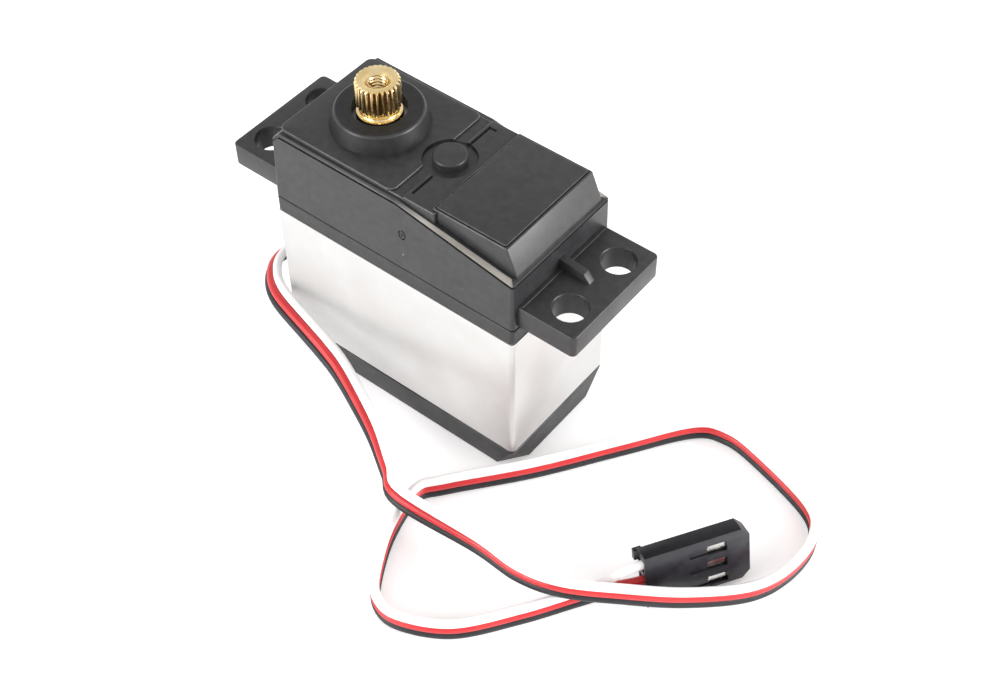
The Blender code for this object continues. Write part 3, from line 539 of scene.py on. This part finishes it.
def smooth_route(route, count):
    """Evenly spaced points on a smooth curve through a route's own points, in metres."""
    points = np.array(route) * MM
    ends = [2 * points[0] - points[1]], [2 * points[-1] - points[-2]]
    padded = np.vstack([ends[0], points, ends[1]])
    fine = []
    for before, first, second, after in zip(padded, padded[1:], padded[2:], padded[3:]):
        for t in np.linspace(0.0, 1.0, 12, endpoint=False):
            bend = 2 * before - 5 * first + 4 * second - after
            twist = 3 * first - before - 3 * second + after
            fine.append((2 * first + (second - before) * t + bend * t**2 + twist * t**3) / 2)
    fine = np.array(fine + [points[-1]])
    reach = np.concatenate([[0.0], np.cumsum(np.linalg.norm(np.diff(fine, axis=0), axis=1))])
    even = np.linspace(0.0, reach[-1], count)
    return np.column_stack([np.interp(even, reach, fine[:, axis]) for axis in range(3)]), reach[-1]


def wire_frames(points):
    """The direction, side and upright of an upright ribbon at each point."""
    ahead = np.gradient(points, axis=0)
    ahead /= np.linalg.norm(ahead, axis=1)[:, None]
    side = np.cross(ahead, (0.0, 0.0, 1.0))
    side /= np.linalg.norm(side, axis=1)[:, None]
    return ahead, side, np.cross(side, ahead)


# How far the ribbon leans over towards the case, in degrees, at distances along it in millimetres
LEAD_LEAN = ((0, 0), (3, 25), (6, 42), (12, 50), (19, 54), (33, 50), (43, 38), (55, 22), (66, 8), (78, 0))


def leaned(side, upright, travelled, share):
    """One wire's side and upright, turned about its heading by its share of the lean."""
    spots, angles = zip(*LEAD_LEAN)
    angle = np.radians(np.interp(travelled, np.array(spots) * MM, angles))[:, None] * share
    return side * np.cos(angle) + upright * np.sin(angle), upright * np.cos(angle) - side * np.sin(angle)


def add_tube(made, centres, side, upright, radius, slot, sides=12):
    """A round wire along its own centre line, with closed ends."""
    rings = []
    for centre, across, up in zip(centres, side, upright):
        angles = np.linspace(0.0, 2 * math.pi, sides, endpoint=False)
        ring = [centre + radius * (math.cos(a) * across + math.sin(a) * up) for a in angles]
        rings.append([made.verts.new(point) for point in ring])
    faces = []
    for low, high in zip(rings, rings[1:]):
        for i in range(sides):
            j = (i + 1) % sides
            faces.append(made.faces.new((low[i], low[j], high[j], high[i])))
    faces.append(made.faces.new(list(reversed(rings[0]))))
    faces.append(made.faces.new(rings[-1]))
    for face in faces:
        face.material_index = slot


def plug_frame():
    """Where the plug lies: on one long edge, leaning back, turned along its heading."""
    corner = (46.8 * MM, -16.85 * MM, 0.75 * MM)
    lean = Matrix.Rotation(-math.radians(15.5), 4, "X")
    return Matrix.Translation(corner) @ Matrix.Rotation(math.radians(58.0), 4, "Z") @ lean


def add_lead():
    """Three bonded wires, white over red over black, which part just before the plug."""
    points, length = smooth_route(LEAD_ROUTE_MM, 300)
    _, side, upright = wire_frames(points)
    travelled = np.linspace(0.0, length, len(points))
    part = np.clip((travelled - (length - 5.0 * MM)) / (5.0 * MM), 0.0, 1.0)
    part = part * part * (3 - 2 * part)
    frame_plug = plug_frame()
    made = bmesh.new()
    for row, slot, share in ((1, 0, 1.0), (0, 1, 1.0), (-1, 2, 0.35)):
        pitch = WIRE_PITCH + (PIN_PITCH - WIRE_PITCH) * part
        across, up = leaned(side, upright, travelled, share)
        centres = points + up * (row * pitch)[:, None]
        goal = np.array(frame_plug @ Vector((-0.2 * MM, 1.2 * MM, PLUG_MIDDLE + row * PIN_PITCH)))
        centres += (goal - centres[-1])[None, :] * (part**2)[:, None]
        inside = np.array(frame_plug @ Vector((2.6 * MM, 1.2 * MM, PLUG_MIDDLE + row * PIN_PITCH)))
        centres = np.vstack([centres, [inside]])
        across = np.vstack([across, across[-1:]])
        up = np.vstack([up, up[-1:]])
        add_tube(made, centres, across, up, WIRE_RADIUS, slot)
    middle = np.array(frame_plug @ Vector((2.6 * MM, 1.2 * MM, PLUG_MIDDLE)))
    points = np.vstack([points, [middle]])
    length += float(np.linalg.norm(points[-1] - points[-2]))
    lead = made_object("lead_wires_piece", made, recalc=True)
    for finish in (WIRE_WHITE, WIRE_RED, WIRE_BLACK):
        lead.data.materials.append(finish)
    return lead, points, length


def add_plug():
    """The housing: cut far corners, a lip at the wire end, three windows with slots, and its channels."""
    thick, wide, long, corner = 2.4 * MM, 8.2 * MM, 14.3 * MM, 1.1 * MM
    outline = [(0.0, 0.0), (long - corner, 0.0), (long, corner)]
    outline += [(long, wide - corner), (long - corner, wide), (0.0, wide)]
    shape = side_prism(outline, thick / 2)
    bmesh.ops.translate(shape, verts=shape.verts, vec=(0.0, thick / 2, 0.0))
    housing = made_object("plug_body", shape)
    lip = box((-0.6 * MM, thick - 0.4 * MM, wide - 1.6 * MM), (0.6 * MM, thick + 0.4 * MM, wide - 0.1 * MM))
    join(housing, lip)
    soften(housing, 0.1 * MM, 2)
    cuts = []
    for number in range(3):
        height = PLUG_MIDDLE + (number - 1) * PIN_PITCH
        reach = 0.85 * MM
        low = (-MM, thick / 2 - reach, height - reach)
        cuts.append(box(low, (long + MM, thick / 2 + reach, height + reach)))
        cuts.append(box((8.5 * MM, -MM, height - 0.75 * MM), (11.2 * MM, thick / 2, height + 0.75 * MM)))
        cuts.append(box((6.0 * MM, -MM, height - 0.5 * MM), (8.6 * MM, 0.2 * MM, height + 0.5 * MM)))
    cut(housing, *cuts)
    housing.matrix_world = plug_frame()
    housing.data.transform(housing.matrix_world)
    housing.matrix_world = Matrix.Identity(4)
    place(housing, "case", PLUG, replaces=["plug_housing"])
    # painted shade: the plug's upward faces are coloured darker than the rest of it
    refinish(housing, PLUG_TOP_SHADE, lambda centre, normal: normal.z > 0.93)
    return housing


lead, lead_path, lead_length = add_lead()
place(lead, "case", None, replaces=["lead_ribbon"], angle=60)
plug = add_plug()

# ---------------------------------------------------------------- upper case

BODY_X, BODY_Y, BODY_CORNER, CORNER_STEPS = 20.0 * MM, 10.15 * MM, 0.7 * MM, 8
OUTPUT_X, CENTRE_X = -9.3 * MM, 2.2 * MM
SECOND = (11.1989579 * MM, 1.9128 * MM)
MOTOR = (10.844025 * MM, -0.984874 * MM)
SHOULDER, BEND, END_SHOULDER = 39.4 * MM, 1.2 * MM, 36.2 * MM
CORNER_BEND = -18.4 * MM
SLOPE = (END_SHOULDER - SHOULDER) / (BODY_X - BEND)
SCREW, SCREW_BORE, COLUMN_RADIUS = (17.1 * MM, 7.5 * MM), 1.05 * MM, 1.6 * MM
PLASTIC_WALL, METAL_WALL, AXLE_BORE = 1.5 * MM, 1.3 * MM, 0.8 * MM
COVER_TOP = 3.85 * MM
SLEEVE_LOW, SLEEVE_HIGH = 4.05 * MM, 25.85 * MM
DECK_LOW, DECK_HIGH = 26.05 * MM, 28.2 * MM
CASE_LOW, SKIN_INSET = 28.4 * MM, 0.12 * MM
EAR_LOW, EAR_TOP = 28.6 * MM, 32.05 * MM
CHANNEL_TOP, PLATE_TOP, BLOCK_RIM, BLOCK_TOP = 39.72 * MM, 40 * MM, 40.3 * MM, 40.45 * MM
BUTTON_TOP, BOSS_TOP, SPLINE_TOP = 40.85 * MM, 42.45 * MM, 46.9 * MM
BOSS_RADIUS, BUTTON_RADIUS, WELL_RADIUS = 6.62 * MM, 2.3 * MM, 3.6 * MM
ABOVE = 41 * MM


def body_ring(inset, height, bends=()):
    """The case's plan outline at a height, drawn in by an inset."""
    low, high = (-BODY_X, -BODY_Y), (BODY_X, BODY_Y)
    return at(rounded_box(low, high, BODY_CORNER, inset, CORNER_STEPS, bends), height)


def shoulder_at(x):
    """The height of the wall's top: level, then falling past the bend, and dipping at the near end."""
    return SHOULDER + max(0.0, x - BEND) * SLOPE - max(0.0, CORNER_BEND - x)


def case_wall():
    """The drafted side wall, with a fine groove under its slanted brow, which is wider along the fall."""
    fillet, draft, sway = 0.34 * MM, 0.3 * MM, 0.2 * MM
    bends = (CORNER_BEND, BEND)
    rings = [body_ring(2 * SKIN_INSET, CASE_LOW, bends), body_ring(SKIN_INSET, CASE_LOW + SKIN_INSET, bends)]
    steps = [(fillet + 0.34 * MM, 0.0, 0.0), (fillet + 0.3 * MM, 0.3 * MM, 0.0)]
    steps += [(fillet + 0.04 * MM, 0.3 * MM, 0.0), (fillet, 0.0, 0.0), (fillet - 0.03 * MM, 0.02 * MM, 0.0)]
    steps += [(0.03 * MM, 0.28 * MM, 0.5 * MM), (0.0, 0.34 * MM, 0.52 * MM)]
    for drop, extra, wider in steps:
        ring = []
        for i, (x, _, _) in enumerate(body_ring(SKIN_INSET, 0.0, bends)):
            top = shoulder_at(min(max(x, -19.4 * MM), 19.4 * MM)) - drop
            rise = (top - CASE_LOW) / (SHOULDER - CASE_LOW)
            inset = SKIN_INSET + draft * rise + extra + (wider if x > BEND + 0.1 * MM else 0.0)
            if x < CORNER_BEND + 0.1 * MM and wider:
                inset -= 0.17 * MM
            moved = body_ring(inset, 0.0, bends)[i]
            ring.append((moved[0], moved[1] + sway * rise, top))
        rings.append(ring)
    made = loft(rings, caps=False)
    made.verts.ensure_lookup_table()
    count = len(rings[0])
    bottom = [made.verts[i] for i in range(count)]
    top = [made.verts[(len(rings) - 1) * count + i] for i in range(count)]
    made.faces.new(list(reversed(bottom)))
    far_bend, near_bend = 2 * (CORNER_STEPS + 1), count - 1
    made.faces.new([top[near_bend]] + top[: far_bend + 1])
    made.faces.new([top[far_bend], top[far_bend + 1], top[near_bend - 1], top[near_bend]])
    made.faces.new(top[far_bend + 1 : near_bend])
    return made


def upper_case():
    """The moulded top, with its ears, plate, boss, button and sloping block."""
    case = made_object("case_top", case_wall(), recalc=True)
    plate = (-18.8 * MM, -8.95 * MM), (0.3 * MM, 8.95 * MM)
    join(
        case,
        soft_prism(*plate, 1.1 * MM, 37.5 * MM, PLATE_TOP, 0.14 * MM),
        soft_prism((-1 * MM, -8.9 * MM), (7 * MM, 8.9 * MM), 0.5 * MM, 38 * MM, CHANNEL_TOP, 0.2 * MM),
        soft_prism((1.9 * MM, -8.9 * MM), (7 * MM, 8.9 * MM), 0.3 * MM, 37.5 * MM, PLATE_TOP, 0.16 * MM),
        block(),
        soft_prism((6.62 * MM, -8.1 * MM), (17.42 * MM, 8.5 * MM), 0.3 * MM, 39 * MM, BLOCK_TOP, 0.16 * MM),
    )
    boss = [(0.0, 38.8 * MM, 0), (BOSS_RADIUS, 38.8 * MM, 0), (BOSS_RADIUS, PLATE_TOP, 0)]
    boss += [(5.85 * MM, BOSS_TOP, 0.45 * MM), (0.0, BOSS_TOP, 0)]
    join(case, turned(rounded_profile(boss), 96, (OUTPUT_X, 0.0)))
    well = [(0.0, 39.62 * MM), (WELL_RADIUS, 39.62 * MM), (WELL_RADIUS, ABOVE), (0.0, ABOVE)]
    slot_near = box((2.35 * MM, -7.7 * MM, CHANNEL_TOP), (2.75 * MM, -3.0 * MM, ABOVE))
    slot_far = box((2.35 * MM, 3.0 * MM, CHANNEL_TOP), (2.75 * MM, 7.7 * MM, ABOVE))
    hook = box((2.7 * MM, 7.32 * MM, CHANNEL_TOP), (3.6 * MM, 7.7 * MM, ABOVE))
    cut(case, turned(well, 72, (CENTRE_X, 0.0)), slot_near, slot_far, hook)
    button = [(0.0, 38.6 * MM, 0), (BUTTON_RADIUS, 38.6 * MM, 0)]
    button += [(BUTTON_RADIUS - 0.04 * MM, BUTTON_TOP, 0.32 * MM), (0.0, BUTTON_TOP, 0)]
    join(case, turned(rounded_profile(button), 64, (CENTRE_X, 0.0)))
    cut(case, thin_frame((6.5 * MM, -8.2 * MM), (17.5 * MM, 8.6 * MM), 0.13 * MM, 40.1 * MM, ABOVE))
    cut(case, *gate_mark())
    add_ears(case)
    open_case(case)
    place(case, "case", BLACK, replaces=["upper_case"], angle=38)
    # painted highlight on the brow strip along the wall tops
    refinish(case, BROW_HIGHLIGHT, on_brow)
    # painted highlight on the rounded edges of the plate, band and panel
    refinish(case, EDGE_HIGHLIGHT, on_panel_edge)
    refinish(case, BOSS_FACE, on_boss)
    return case


def on_brow(centre, normal):
    """The slanted strip along both long walls' tops, which gets the painted highlight."""
    beside = 8.5 * MM < abs(centre.y) < 9.95 * MM and centre.y * normal.y > 0
    return beside and centre.z > 35.9 * MM and 0.6 < normal.z < 0.985 and abs(normal.y) > 0.2


def on_panel_edge(centre, normal):
    """The rounded upper edges of the plate, the band and the block's panel, coloured lighter as a painted
    highlight.
    """
    level = 39.6 * MM < centre.z < 40.5 * MM and 0.3 < normal.z < 0.97
    past_boss = math.dist(centre.xy, (OUTPUT_X, 0.0)) > BOSS_RADIUS + 0.08 * MM
    past_button = math.dist(centre.xy, (CENTRE_X, 0.0)) > BUTTON_RADIUS + 0.1 * MM
    return level and past_boss and past_button and centre.x < 17.6 * MM


def on_boss(centre, normal):
    """The boss's side and top face, without its rounded upper edge."""
    across = math.dist(centre.xy, (OUTPUT_X, 0.0))
    side = 40.02 * MM < centre.z < 42.1 * MM and 5.6 * MM < across < 6.7 * MM and normal.z < 0.6
    return side or (centre.z > 42.3 * MM and normal.z > 0.97)


def close_frame(made, loops):
    """The four sides of a closed frame: outer and inner loop at its start, then at its end."""
    count = len(loops[0])
    for first, second in ((0, 1), (2, 0), (3, 2), (1, 3)):
        for i in range(count):
            j = (i + 1) % count
            made.faces.new((loops[first][i], loops[first][j], loops[second][j], loops[second][i]))


def thin_frame(low, high, width, bottom, top):
    """A thin rectangular frame, as a tool for a fine groove."""
    made = bmesh.new()
    loops = []
    for height in (bottom, top):
        for inset in (0.0, width):
            outline = rounded_box(low, high, 0.4 * MM, inset)
            loops.append([made.verts.new((x, y, height)) for x, y in outline])
    close_frame(made, loops)
    return made


def gate_mark():
    """The small oval moulding mark in the near long wall: a fine oval groove with two nicks inside."""
    x, face, z = 2.24 * MM, -9.78 * MM, 34.26 * MM
    made = bmesh.new()
    loops = []
    for depth in (-0.5 * MM, 0.16 * MM):
        for wide, tall in ((0.6 * MM, 0.78 * MM), (0.42 * MM, 0.6 * MM)):
            oval = [(x + wide * a, face + depth, z + tall * b) for a, b in circle((0.0, 0.0), 1.0, 32)]
            loops.append([made.verts.new(point) for point in oval])
    close_frame(made, loops)
    nicks = []
    for aside, low, high in ((-0.12 * MM, -0.35 * MM, 0.3 * MM), (0.14 * MM, -0.25 * MM, 0.35 * MM)):
        start = (x + aside - 0.05 * MM, face - 0.5 * MM, z + low)
        nicks.append(box(start, (x + aside + 0.05 * MM, face + 0.14 * MM, z + high)))
    return [made] + nicks


def block():
    """The raised block with its sloping end, each edge rounded. Its top panel stands a little proud."""
    outline = [(6.3 * MM, 35.5 * MM), (19.3 * MM, 35.5 * MM), (19.3 * MM, 36.55 * MM)]
    outline += [(17.75 * MM, BLOCK_RIM), (6.3 * MM, BLOCK_RIM)]
    shape = side_prism(outline, 8.6 * MM)
    bmesh.ops.translate(shape, verts=shape.verts, vec=(0.0, 0.2 * MM, 0.0))
    bmesh.ops.recalc_face_normals(shape, faces=shape.faces)
    upper = [e for e in shape.edges if max(v.co.z for v in e.verts) > 36.0 * MM]
    bmesh.ops.bevel(
        shape, geom=upper, offset=0.16 * MM, segments=3, profile=0.5, affect="EDGES", clamp_overlap=True
    )
    return shape


def add_ears(case):
    """Both mounting ears, each with a thin step along the wall, a rib and two screw holes."""
    top, bottom = EAR_TOP, EAR_LOW
    for side in (-1, 1):
        low, high = sorted((side * 18.5 * MM, side * 28.35 * MM))
        ear = soft_prism((low, -8.93 * MM), (high, 8.93 * MM), 0.75 * MM, bottom, top, 0.18 * MM, 0.14 * MM)
        low, high = sorted((side * 18.5 * MM, side * 20.4 * MM))
        under, over = top - 0.5 * MM, top + 0.12 * MM
        step = soft_prism((low, -8.7 * MM), (high, 8.7 * MM), 0.1 * MM, under, over, 0.06 * MM)
        rib = [(19 * MM, top - 0.5 * MM), (24.45 * MM, top - 0.5 * MM), (24.45 * MM, top)]
        rib += [(23.45 * MM, top + 1.15 * MM), (19 * MM, top + 1.7 * MM)]
        web = side_prism([(side * x, z) for x, z in rib], 0.53 * MM)
        bmesh.ops.recalc_face_normals(web, faces=web.faces)
        bmesh.ops.bevel(web, geom=list(web.edges), offset=0.06 * MM, segments=2, profile=0.5, affect="EDGES")
        piece = made_object("ear", ear, recalc=True)
        join(piece, step, web)
        holes = []
        for row in (-1, 1):
            centre = (side * 24.85 * MM, row * 5.0 * MM)
            hole = [(0.0, bottom - MM), (2.2 * MM, bottom - MM), (2.3 * MM, top - 0.1 * MM)]
            hole += [(2.4 * MM, top + 0.01 * MM), (2.4 * MM, top + MM), (0.0, top + MM)]
            holes.append(turned(hole, 64, centre))
        cut(piece, *holes)
        join(case, as_shape(piece))


def cavity(wall, column, steps=4):
    """The inside of the case, which bends round the four screw columns."""
    x, y = BODY_X - wall, BODY_Y - wall
    points = []
    for side_x, side_y, start in ((1, -1, 90), (1, 1, 180), (-1, 1, 270), (-1, -1, 0)):
        centre = (side_x * SCREW[0], side_y * SCREW[1])
        bend = arc(centre, column, start + 90, start, steps)
        along_y = (side_x * x, bend[0][1] if abs(bend[0][0] - centre[0]) < 1e-9 else bend[-1][1])
        along_x = (bend[-1][0] if abs(bend[-1][1] - centre[1]) < 1e-9 else bend[0][0], side_y * y)
        if side_x * side_y < 0:
            points += [along_x] + bend + [along_y]
        else:
            points += [along_y] + bend + [along_x]
    return points


def screw_places():
    return [(sx * SCREW[0], sy * SCREW[1]) for sx in (-1, 1) for sy in (-1, 1)]


def open_case(case):
    """The gear space, the bearing seat, the shaft's way out, the axle sockets and the screw bores."""
    low = 27 * MM
    upper = arc((OUTPUT_X, 0.0), 8.3 * MM, 90, 270, 24) + [(7.0 * MM, -8.3 * MM), (7.0 * MM, 8.3 * MM)]
    way_out = [(0.0, 40.5 * MM), (3.63 * MM, 40.5 * MM), (3.63 * MM, BOSS_TOP - 0.15 * MM)]
    way_out += [(3.78 * MM, BOSS_TOP + 0.01 * MM), (3.78 * MM, 43.5 * MM), (0.0, 43.5 * MM)]
    cut(case, prism(cavity(PLASTIC_WALL, COLUMN_RADIUS), low, 35.0 * MM))
    cut(case, prism(upper, 34.5 * MM, 37.9 * MM))
    cut(case, cylinder((OUTPUT_X, 0.0), 5.05 * MM, 37.5 * MM, 41.2 * MM, 64))
    cut(case, turned(way_out, 72, (OUTPUT_X, 0.0)))
    cut(case, cylinder((CENTRE_X, 0.0), AXLE_BORE, 37.5 * MM, 39.0 * MM, 24))
    cut(case, cylinder(SECOND, AXLE_BORE, 34.5 * MM, 37.0 * MM, 24))
    cut(case, *[cylinder(spot, SCREW_BORE, low, 34.2 * MM, 24) for spot in screw_places()])


# ---------------------------------------------------------------- deck, sleeve and cover


def deck_piece():
    """The thin plate between the upper case and the metal case."""
    edge = 0.1 * MM
    rings = [body_ring(SKIN_INSET + edge, DECK_LOW), body_ring(SKIN_INSET, DECK_LOW + edge)]
    rings += [body_ring(SKIN_INSET, DECK_HIGH - edge), body_ring(SKIN_INSET + edge, DECK_HIGH)]
    deck = made_object("deck_plate", loft(rings))
    low, high = 25 * MM, 29 * MM
    tools = [cylinder((OUTPUT_X, 0.0), 3.6 * MM, low, high), cylinder(MOTOR, MM, low, high, 32)]
    tools += [cylinder(spot, AXLE_BORE, 26.4 * MM, high, 24) for spot in ((CENTRE_X, 0.0), SECOND)]
    tools += [cylinder(spot, SCREW_BORE, low, high, 24) for spot in screw_places()]
    cut(deck, *tools)
    return place(deck, "case", DECK, replaces=["gear_deck"])


def sleeve_piece():
    """The metal sleeve, its rims lightly broken, with the lead's notch in one end."""
    low, high = SLEEVE_LOW, SLEEVE_HIGH
    rings = [body_ring(0.12 * MM, low), body_ring(0.0, low + 0.12 * MM)]
    rings += [body_ring(0.0, high - 0.18 * MM), body_ring(0.05 * MM, high - 0.05 * MM)]
    rings += [body_ring(0.18 * MM, high)]
    sleeve = made_object("metal_sleeve", loft(rings))
    cut(sleeve, prism(cavity(METAL_WALL, COLUMN_RADIUS), low - MM, high + MM))
    cut(sleeve, box((-21 * MM, -1.8 * MM, low - MM), (-18 * MM, 1.8 * MM, 8.7 * MM)))
    cut(sleeve, *[cylinder(spot, SCREW_BORE, low - MM, high + MM, 24) for spot in screw_places()])
    return place(sleeve, "case", SLEEVE, replaces=["middle_case"])


def corner_wedge(side_x, side_y):
    """The slanted cut under one corner of the bottom cover."""
    on_side = Vector((17.2 * MM * side_x, BODY_Y * side_y, 0.0))
    on_end = Vector((BODY_X * side_x, 6.4 * MM * side_y, 0.0))
    peak = Vector((19.7 * MM * side_x, 9.85 * MM * side_y, 3.6 * MM))
    middle = (on_side + on_end + peak) / 3
    corners = [middle + (point - middle) * 2.5 for point in (on_side, on_end, peak)]
    outward = (on_end - on_side).cross(peak - on_side).normalized()
    if outward.x * side_x < 0:
        outward.negate()
    return loft([corners, [point + outward * 6 * MM for point in corners]])


def cover_piece():
    """The bottom cover, with its screw recesses and its slanted lower corners."""
    rings = [body_ring(0.1 * MM, 0.0), body_ring(0.03 * MM, 0.03 * MM), body_ring(0.0, 0.1 * MM)]
    rings += [body_ring(0.0, COVER_TOP - 0.08 * MM), body_ring(0.08 * MM, COVER_TOP)]
    cover = made_object("base_cover", loft(rings))
    cut(cover, prism(cavity(PLASTIC_WALL, 2.3 * MM), 1.6 * MM, 5 * MM))
    cut(cover, *[cylinder(spot, SCREW_BORE, -MM, 5 * MM, 24) for spot in screw_places()])
    cut(cover, *[cylinder(spot, 1.6 * MM, -MM, 2.2 * MM, 32) for spot in screw_places()])
    cut(cover, *[corner_wedge(sx, sy) for sx in (-1, 1) for sy in (-1, 1)])
    return place(cover, "case", COVER, replaces=["bottom_cover"])


# ---------------------------------------------------------------- output shaft


def spline_rings():
    """The fluted end: V flutes whose crests are broken at the top and the foot."""
    teeth, crest, root = 25, 2.95 * MM, 2.55 * MM
    per_tooth = 8
    count = teeth * per_tooth

    def fluted(height, cap):
        points = []
        for i in range(count):
            share = abs((i / per_tooth) % 1.0 - 0.5) * 2
            radius = crest - (crest - root) * min(1.0, max(0.0, (share - 0.22) / 0.62))
            radius = min(radius, cap)
            angle = 2 * math.pi * i / count
            points.append((radius * math.cos(angle), radius * math.sin(angle), height))
        return points

    low, high = 42.9 * MM, SPLINE_TOP
    rings = [fluted(low, 2.6 * MM), fluted(low + 0.25 * MM, crest)]
    rings += [fluted(high - 0.3 * MM, crest), fluted(high - 0.06 * MM, 2.76 * MM), fluted(high, 2.68 * MM)]
    bore = [(2.2, 46.9), (1.95, 46.9), (1.86, 46.86), (1.36, 46.35), (1.36, 41.0), (2.2, 41.0)]
    return rings + [at(circle((0.0, 0.0), radius * MM, count), height * MM) for radius, height in bore]


def in_flute_shade(centre, normal):
    """The lower half of each flute of the spline, where a darker brass paints the shade in the grooves."""
    across = math.dist(centre.xy, (OUTPUT_X, 0.0))
    return 2.4 * MM < across < 2.8 * MM and centre.z < SPLINE_TOP - 0.3 * MM and abs(normal.z) < 0.3


def shift(shape, x):
    bmesh.ops.translate(shape, verts=shape.verts, vec=(x, 0.0, 0.0))
    return shape


def closed_loft(rings):
    """A loft whose last ring joins its first, as a ring-shaped solid."""
    made = bmesh.new()
    placed = [[made.verts.new(point) for point in ring] for ring in rings]
    for low, high in zip(placed, placed[1:] + placed[:1]):
        for i in range(len(low)):
            j = (i + 1) % len(low)
            made.faces.new((low[i], low[j], high[j], high[i]))
    return made


def output_shaft():
    """The brass output: fluted end, flange, journal, wheel and lower journal."""
    spline = made_object("output_spline", shift(closed_loft(spline_rings()), OUTPUT_X), recalc=True)
    foot = [(1.3, 26.3), (2.5, 26.3), (2.5, 28.3), (3.0, 28.3), (3.0, 37.4)]
    journal = [(3.4, 37.4), (3.4, 37.8), (3.05, 37.8), (3.05, 41.85), (2.98, 42.03), (2.8, 42.1)]
    neck = [(2.58, 42.1), (2.48, 42.2), (2.45, 42.35), (2.45, 43.2), (2.0, 43.2), (2.0, 42.0)]
    hole = [(1.36, 41.0), (1.36, 38.6), (0.4, 38.1), (0.4, 29.4), (1.3, 29.0)]
    corners = foot + journal + neck + hole
    shaft = made_object("output_shaft", turned([(r * MM, z * MM) for r, z in corners], 96, (OUTPUT_X, 0.0)))
    outline = gear_outline(30, 0.5 * MM, WHEEL_TURN)
    wheel = shift(prism(outline, 34.8 * MM, 37.5 * MM), OUTPUT_X)
    join(shaft, wheel)
    cut(shaft, cylinder((OUTPUT_X, 0.0), 0.38 * MM, 26 * MM, 45 * MM, 16))
    place(shaft, "output", BRASS, replaces=["output_gear"])
    place(spline, "output", BRASS, angle=24)
    # painted shade in the spline's flute valleys
    refinish(spline, FLUTE_SHADE, in_flute_shade)
    place(screw_thread(), "output", BRASS, angle=50)


def screw_thread():
    """The thread inside the output shaft."""
    pitch, root, crest = 0.5 * MM, 1.352 * MM, 1.16 * MM
    sides, turns, per_turn = 48, 11, 8
    top = 46.5 * MM
    rings = []
    for k in range(turns * per_turn + 1):
        height = top - pitch * k / per_turn
        ring = []
        for i in range(sides):
            phase = (k / per_turn + i / sides) % 1.0
            ridge = 1 - abs(phase - 0.5) * 2
            radius = root - (root - crest) * min(1.0, ridge * 1.25)
            angle = 2 * math.pi * i / sides
            ring.append((OUTPUT_X + radius * math.cos(angle), radius * math.sin(angle), height))
        rings.append(ring)
    skin = circle((OUTPUT_X, 0.0), 1.355 * MM, sides)
    rings += [at(skin, rings[-1][0][2]), at(skin, top)]
    return made_object("output_thread", closed_loft(rings), recalc=True)


def mesh_angle(angle, driver_teeth, driver_turn, teeth):
    """How far a gear is turned so that it meshes with its driver, across the angle between their axes."""
    phase = (angle - driver_turn) * driver_teeth / (2 * math.pi)
    return angle + math.pi - (0.5 - phase) * 2 * math.pi / teeth


WHEEL_TURN = mesh_angle(0.0, 16, 0.0, 30) + math.pi

upper_case()
deck_piece()
sleeve_piece()
cover_piece()
output_shaft()

# ---------------------------------------------------------------- CAD nodes that keep their shape

FINISHES = {
    "steel": STEEL_DARKENED_FOR_SHADE,
    "brass": BRASS,
    "bronze": BRONZE,
    "copper": COPPER,
    "tinned_metal": TIN,
    "magnet": MAGNET,
    "rubber": RUBBER,
    "chip": CHIP,
    "circuit_board": BOARD,
    "deck_plastic": DECK,
    "black_plastic": COVER,
    "lead_wires": WIRE_RED,
    "plug_plastic": PLUG,
    "silver_case": SLEEVE,
}
for entry in frame["record"]["subparts"]:
    node = frame["nodes"][entry["node"]]
    node.data.materials.clear()
    node.data.materials.append(FINISHES[entry["material_slot"]])

# ---------------------------------------------------------------- floor and light


def studio():
    """A pale floor, a white world that dims towards its top, and two soft lamps."""
    floor = made_object("floor", prism(circle((0.0, 0.0), 1.6, 96), -1.1 * MM, -0.1 * MM))
    finish = Surface("floor_look", (0.93, 0.93, 0.93), 0.7, specular=0.2)
    finish.roughness(finish.ramp(finish.noise(40.0, 2.0), 0.3, 0.7, 0.66, 0.74))
    finish.set("Emission Color", (1.0, 1.0, 1.0, 1.0))
    finish.set("Emission Strength", 0.27)
    floor.data.materials.append(finish.material)
    world = bpy.data.worlds.new("studio")
    world.use_nodes = True
    tree = world.node_tree
    direction = tree.nodes.new("ShaderNodeTexCoord").outputs["Generated"]
    parted = tree.nodes.new("ShaderNodeSeparateXYZ")
    tree.links.new(direction, parted.inputs["Vector"])
    fade = tree.nodes.new("ShaderNodeMapRange")
    for socket, value in (("From Min", 0.0), ("From Max", 0.75), ("To Min", 1.2), ("To Max", 0.82)):
        fade.inputs[socket].default_value = value
    tree.links.new(parted.outputs["Z"], fade.inputs["Value"])
    tree.links.new(fade.outputs["Result"], tree.nodes["Background"].inputs["Strength"])
    tree.nodes["Background"].inputs["Color"].default_value = (1.0, 1.0, 1.0, 1.0)
    SCENE.world = world
    add_light("key", (-0.26, -0.62, 0.28), 0.45, 4.0)
    add_light("fill", (0.56, 0.2, 0.18), 0.35, 4.2)
    SCENE.view_settings.view_transform = "Standard"


def add_light(name, spot, size, power):
    lamp = bpy.data.lights.new(name, "AREA")
    lamp.shape = "DISK"
    lamp.size = size
    lamp.energy = power
    made = bpy.data.objects.new(name, lamp)
    made.location = spot
    made.rotation_euler = (Vector((0.01, -0.01, 0.02)) - Vector(spot)).to_track_quat("-Z", "Y").to_euler()
    SCENE.collection.objects.link(made)


studio()
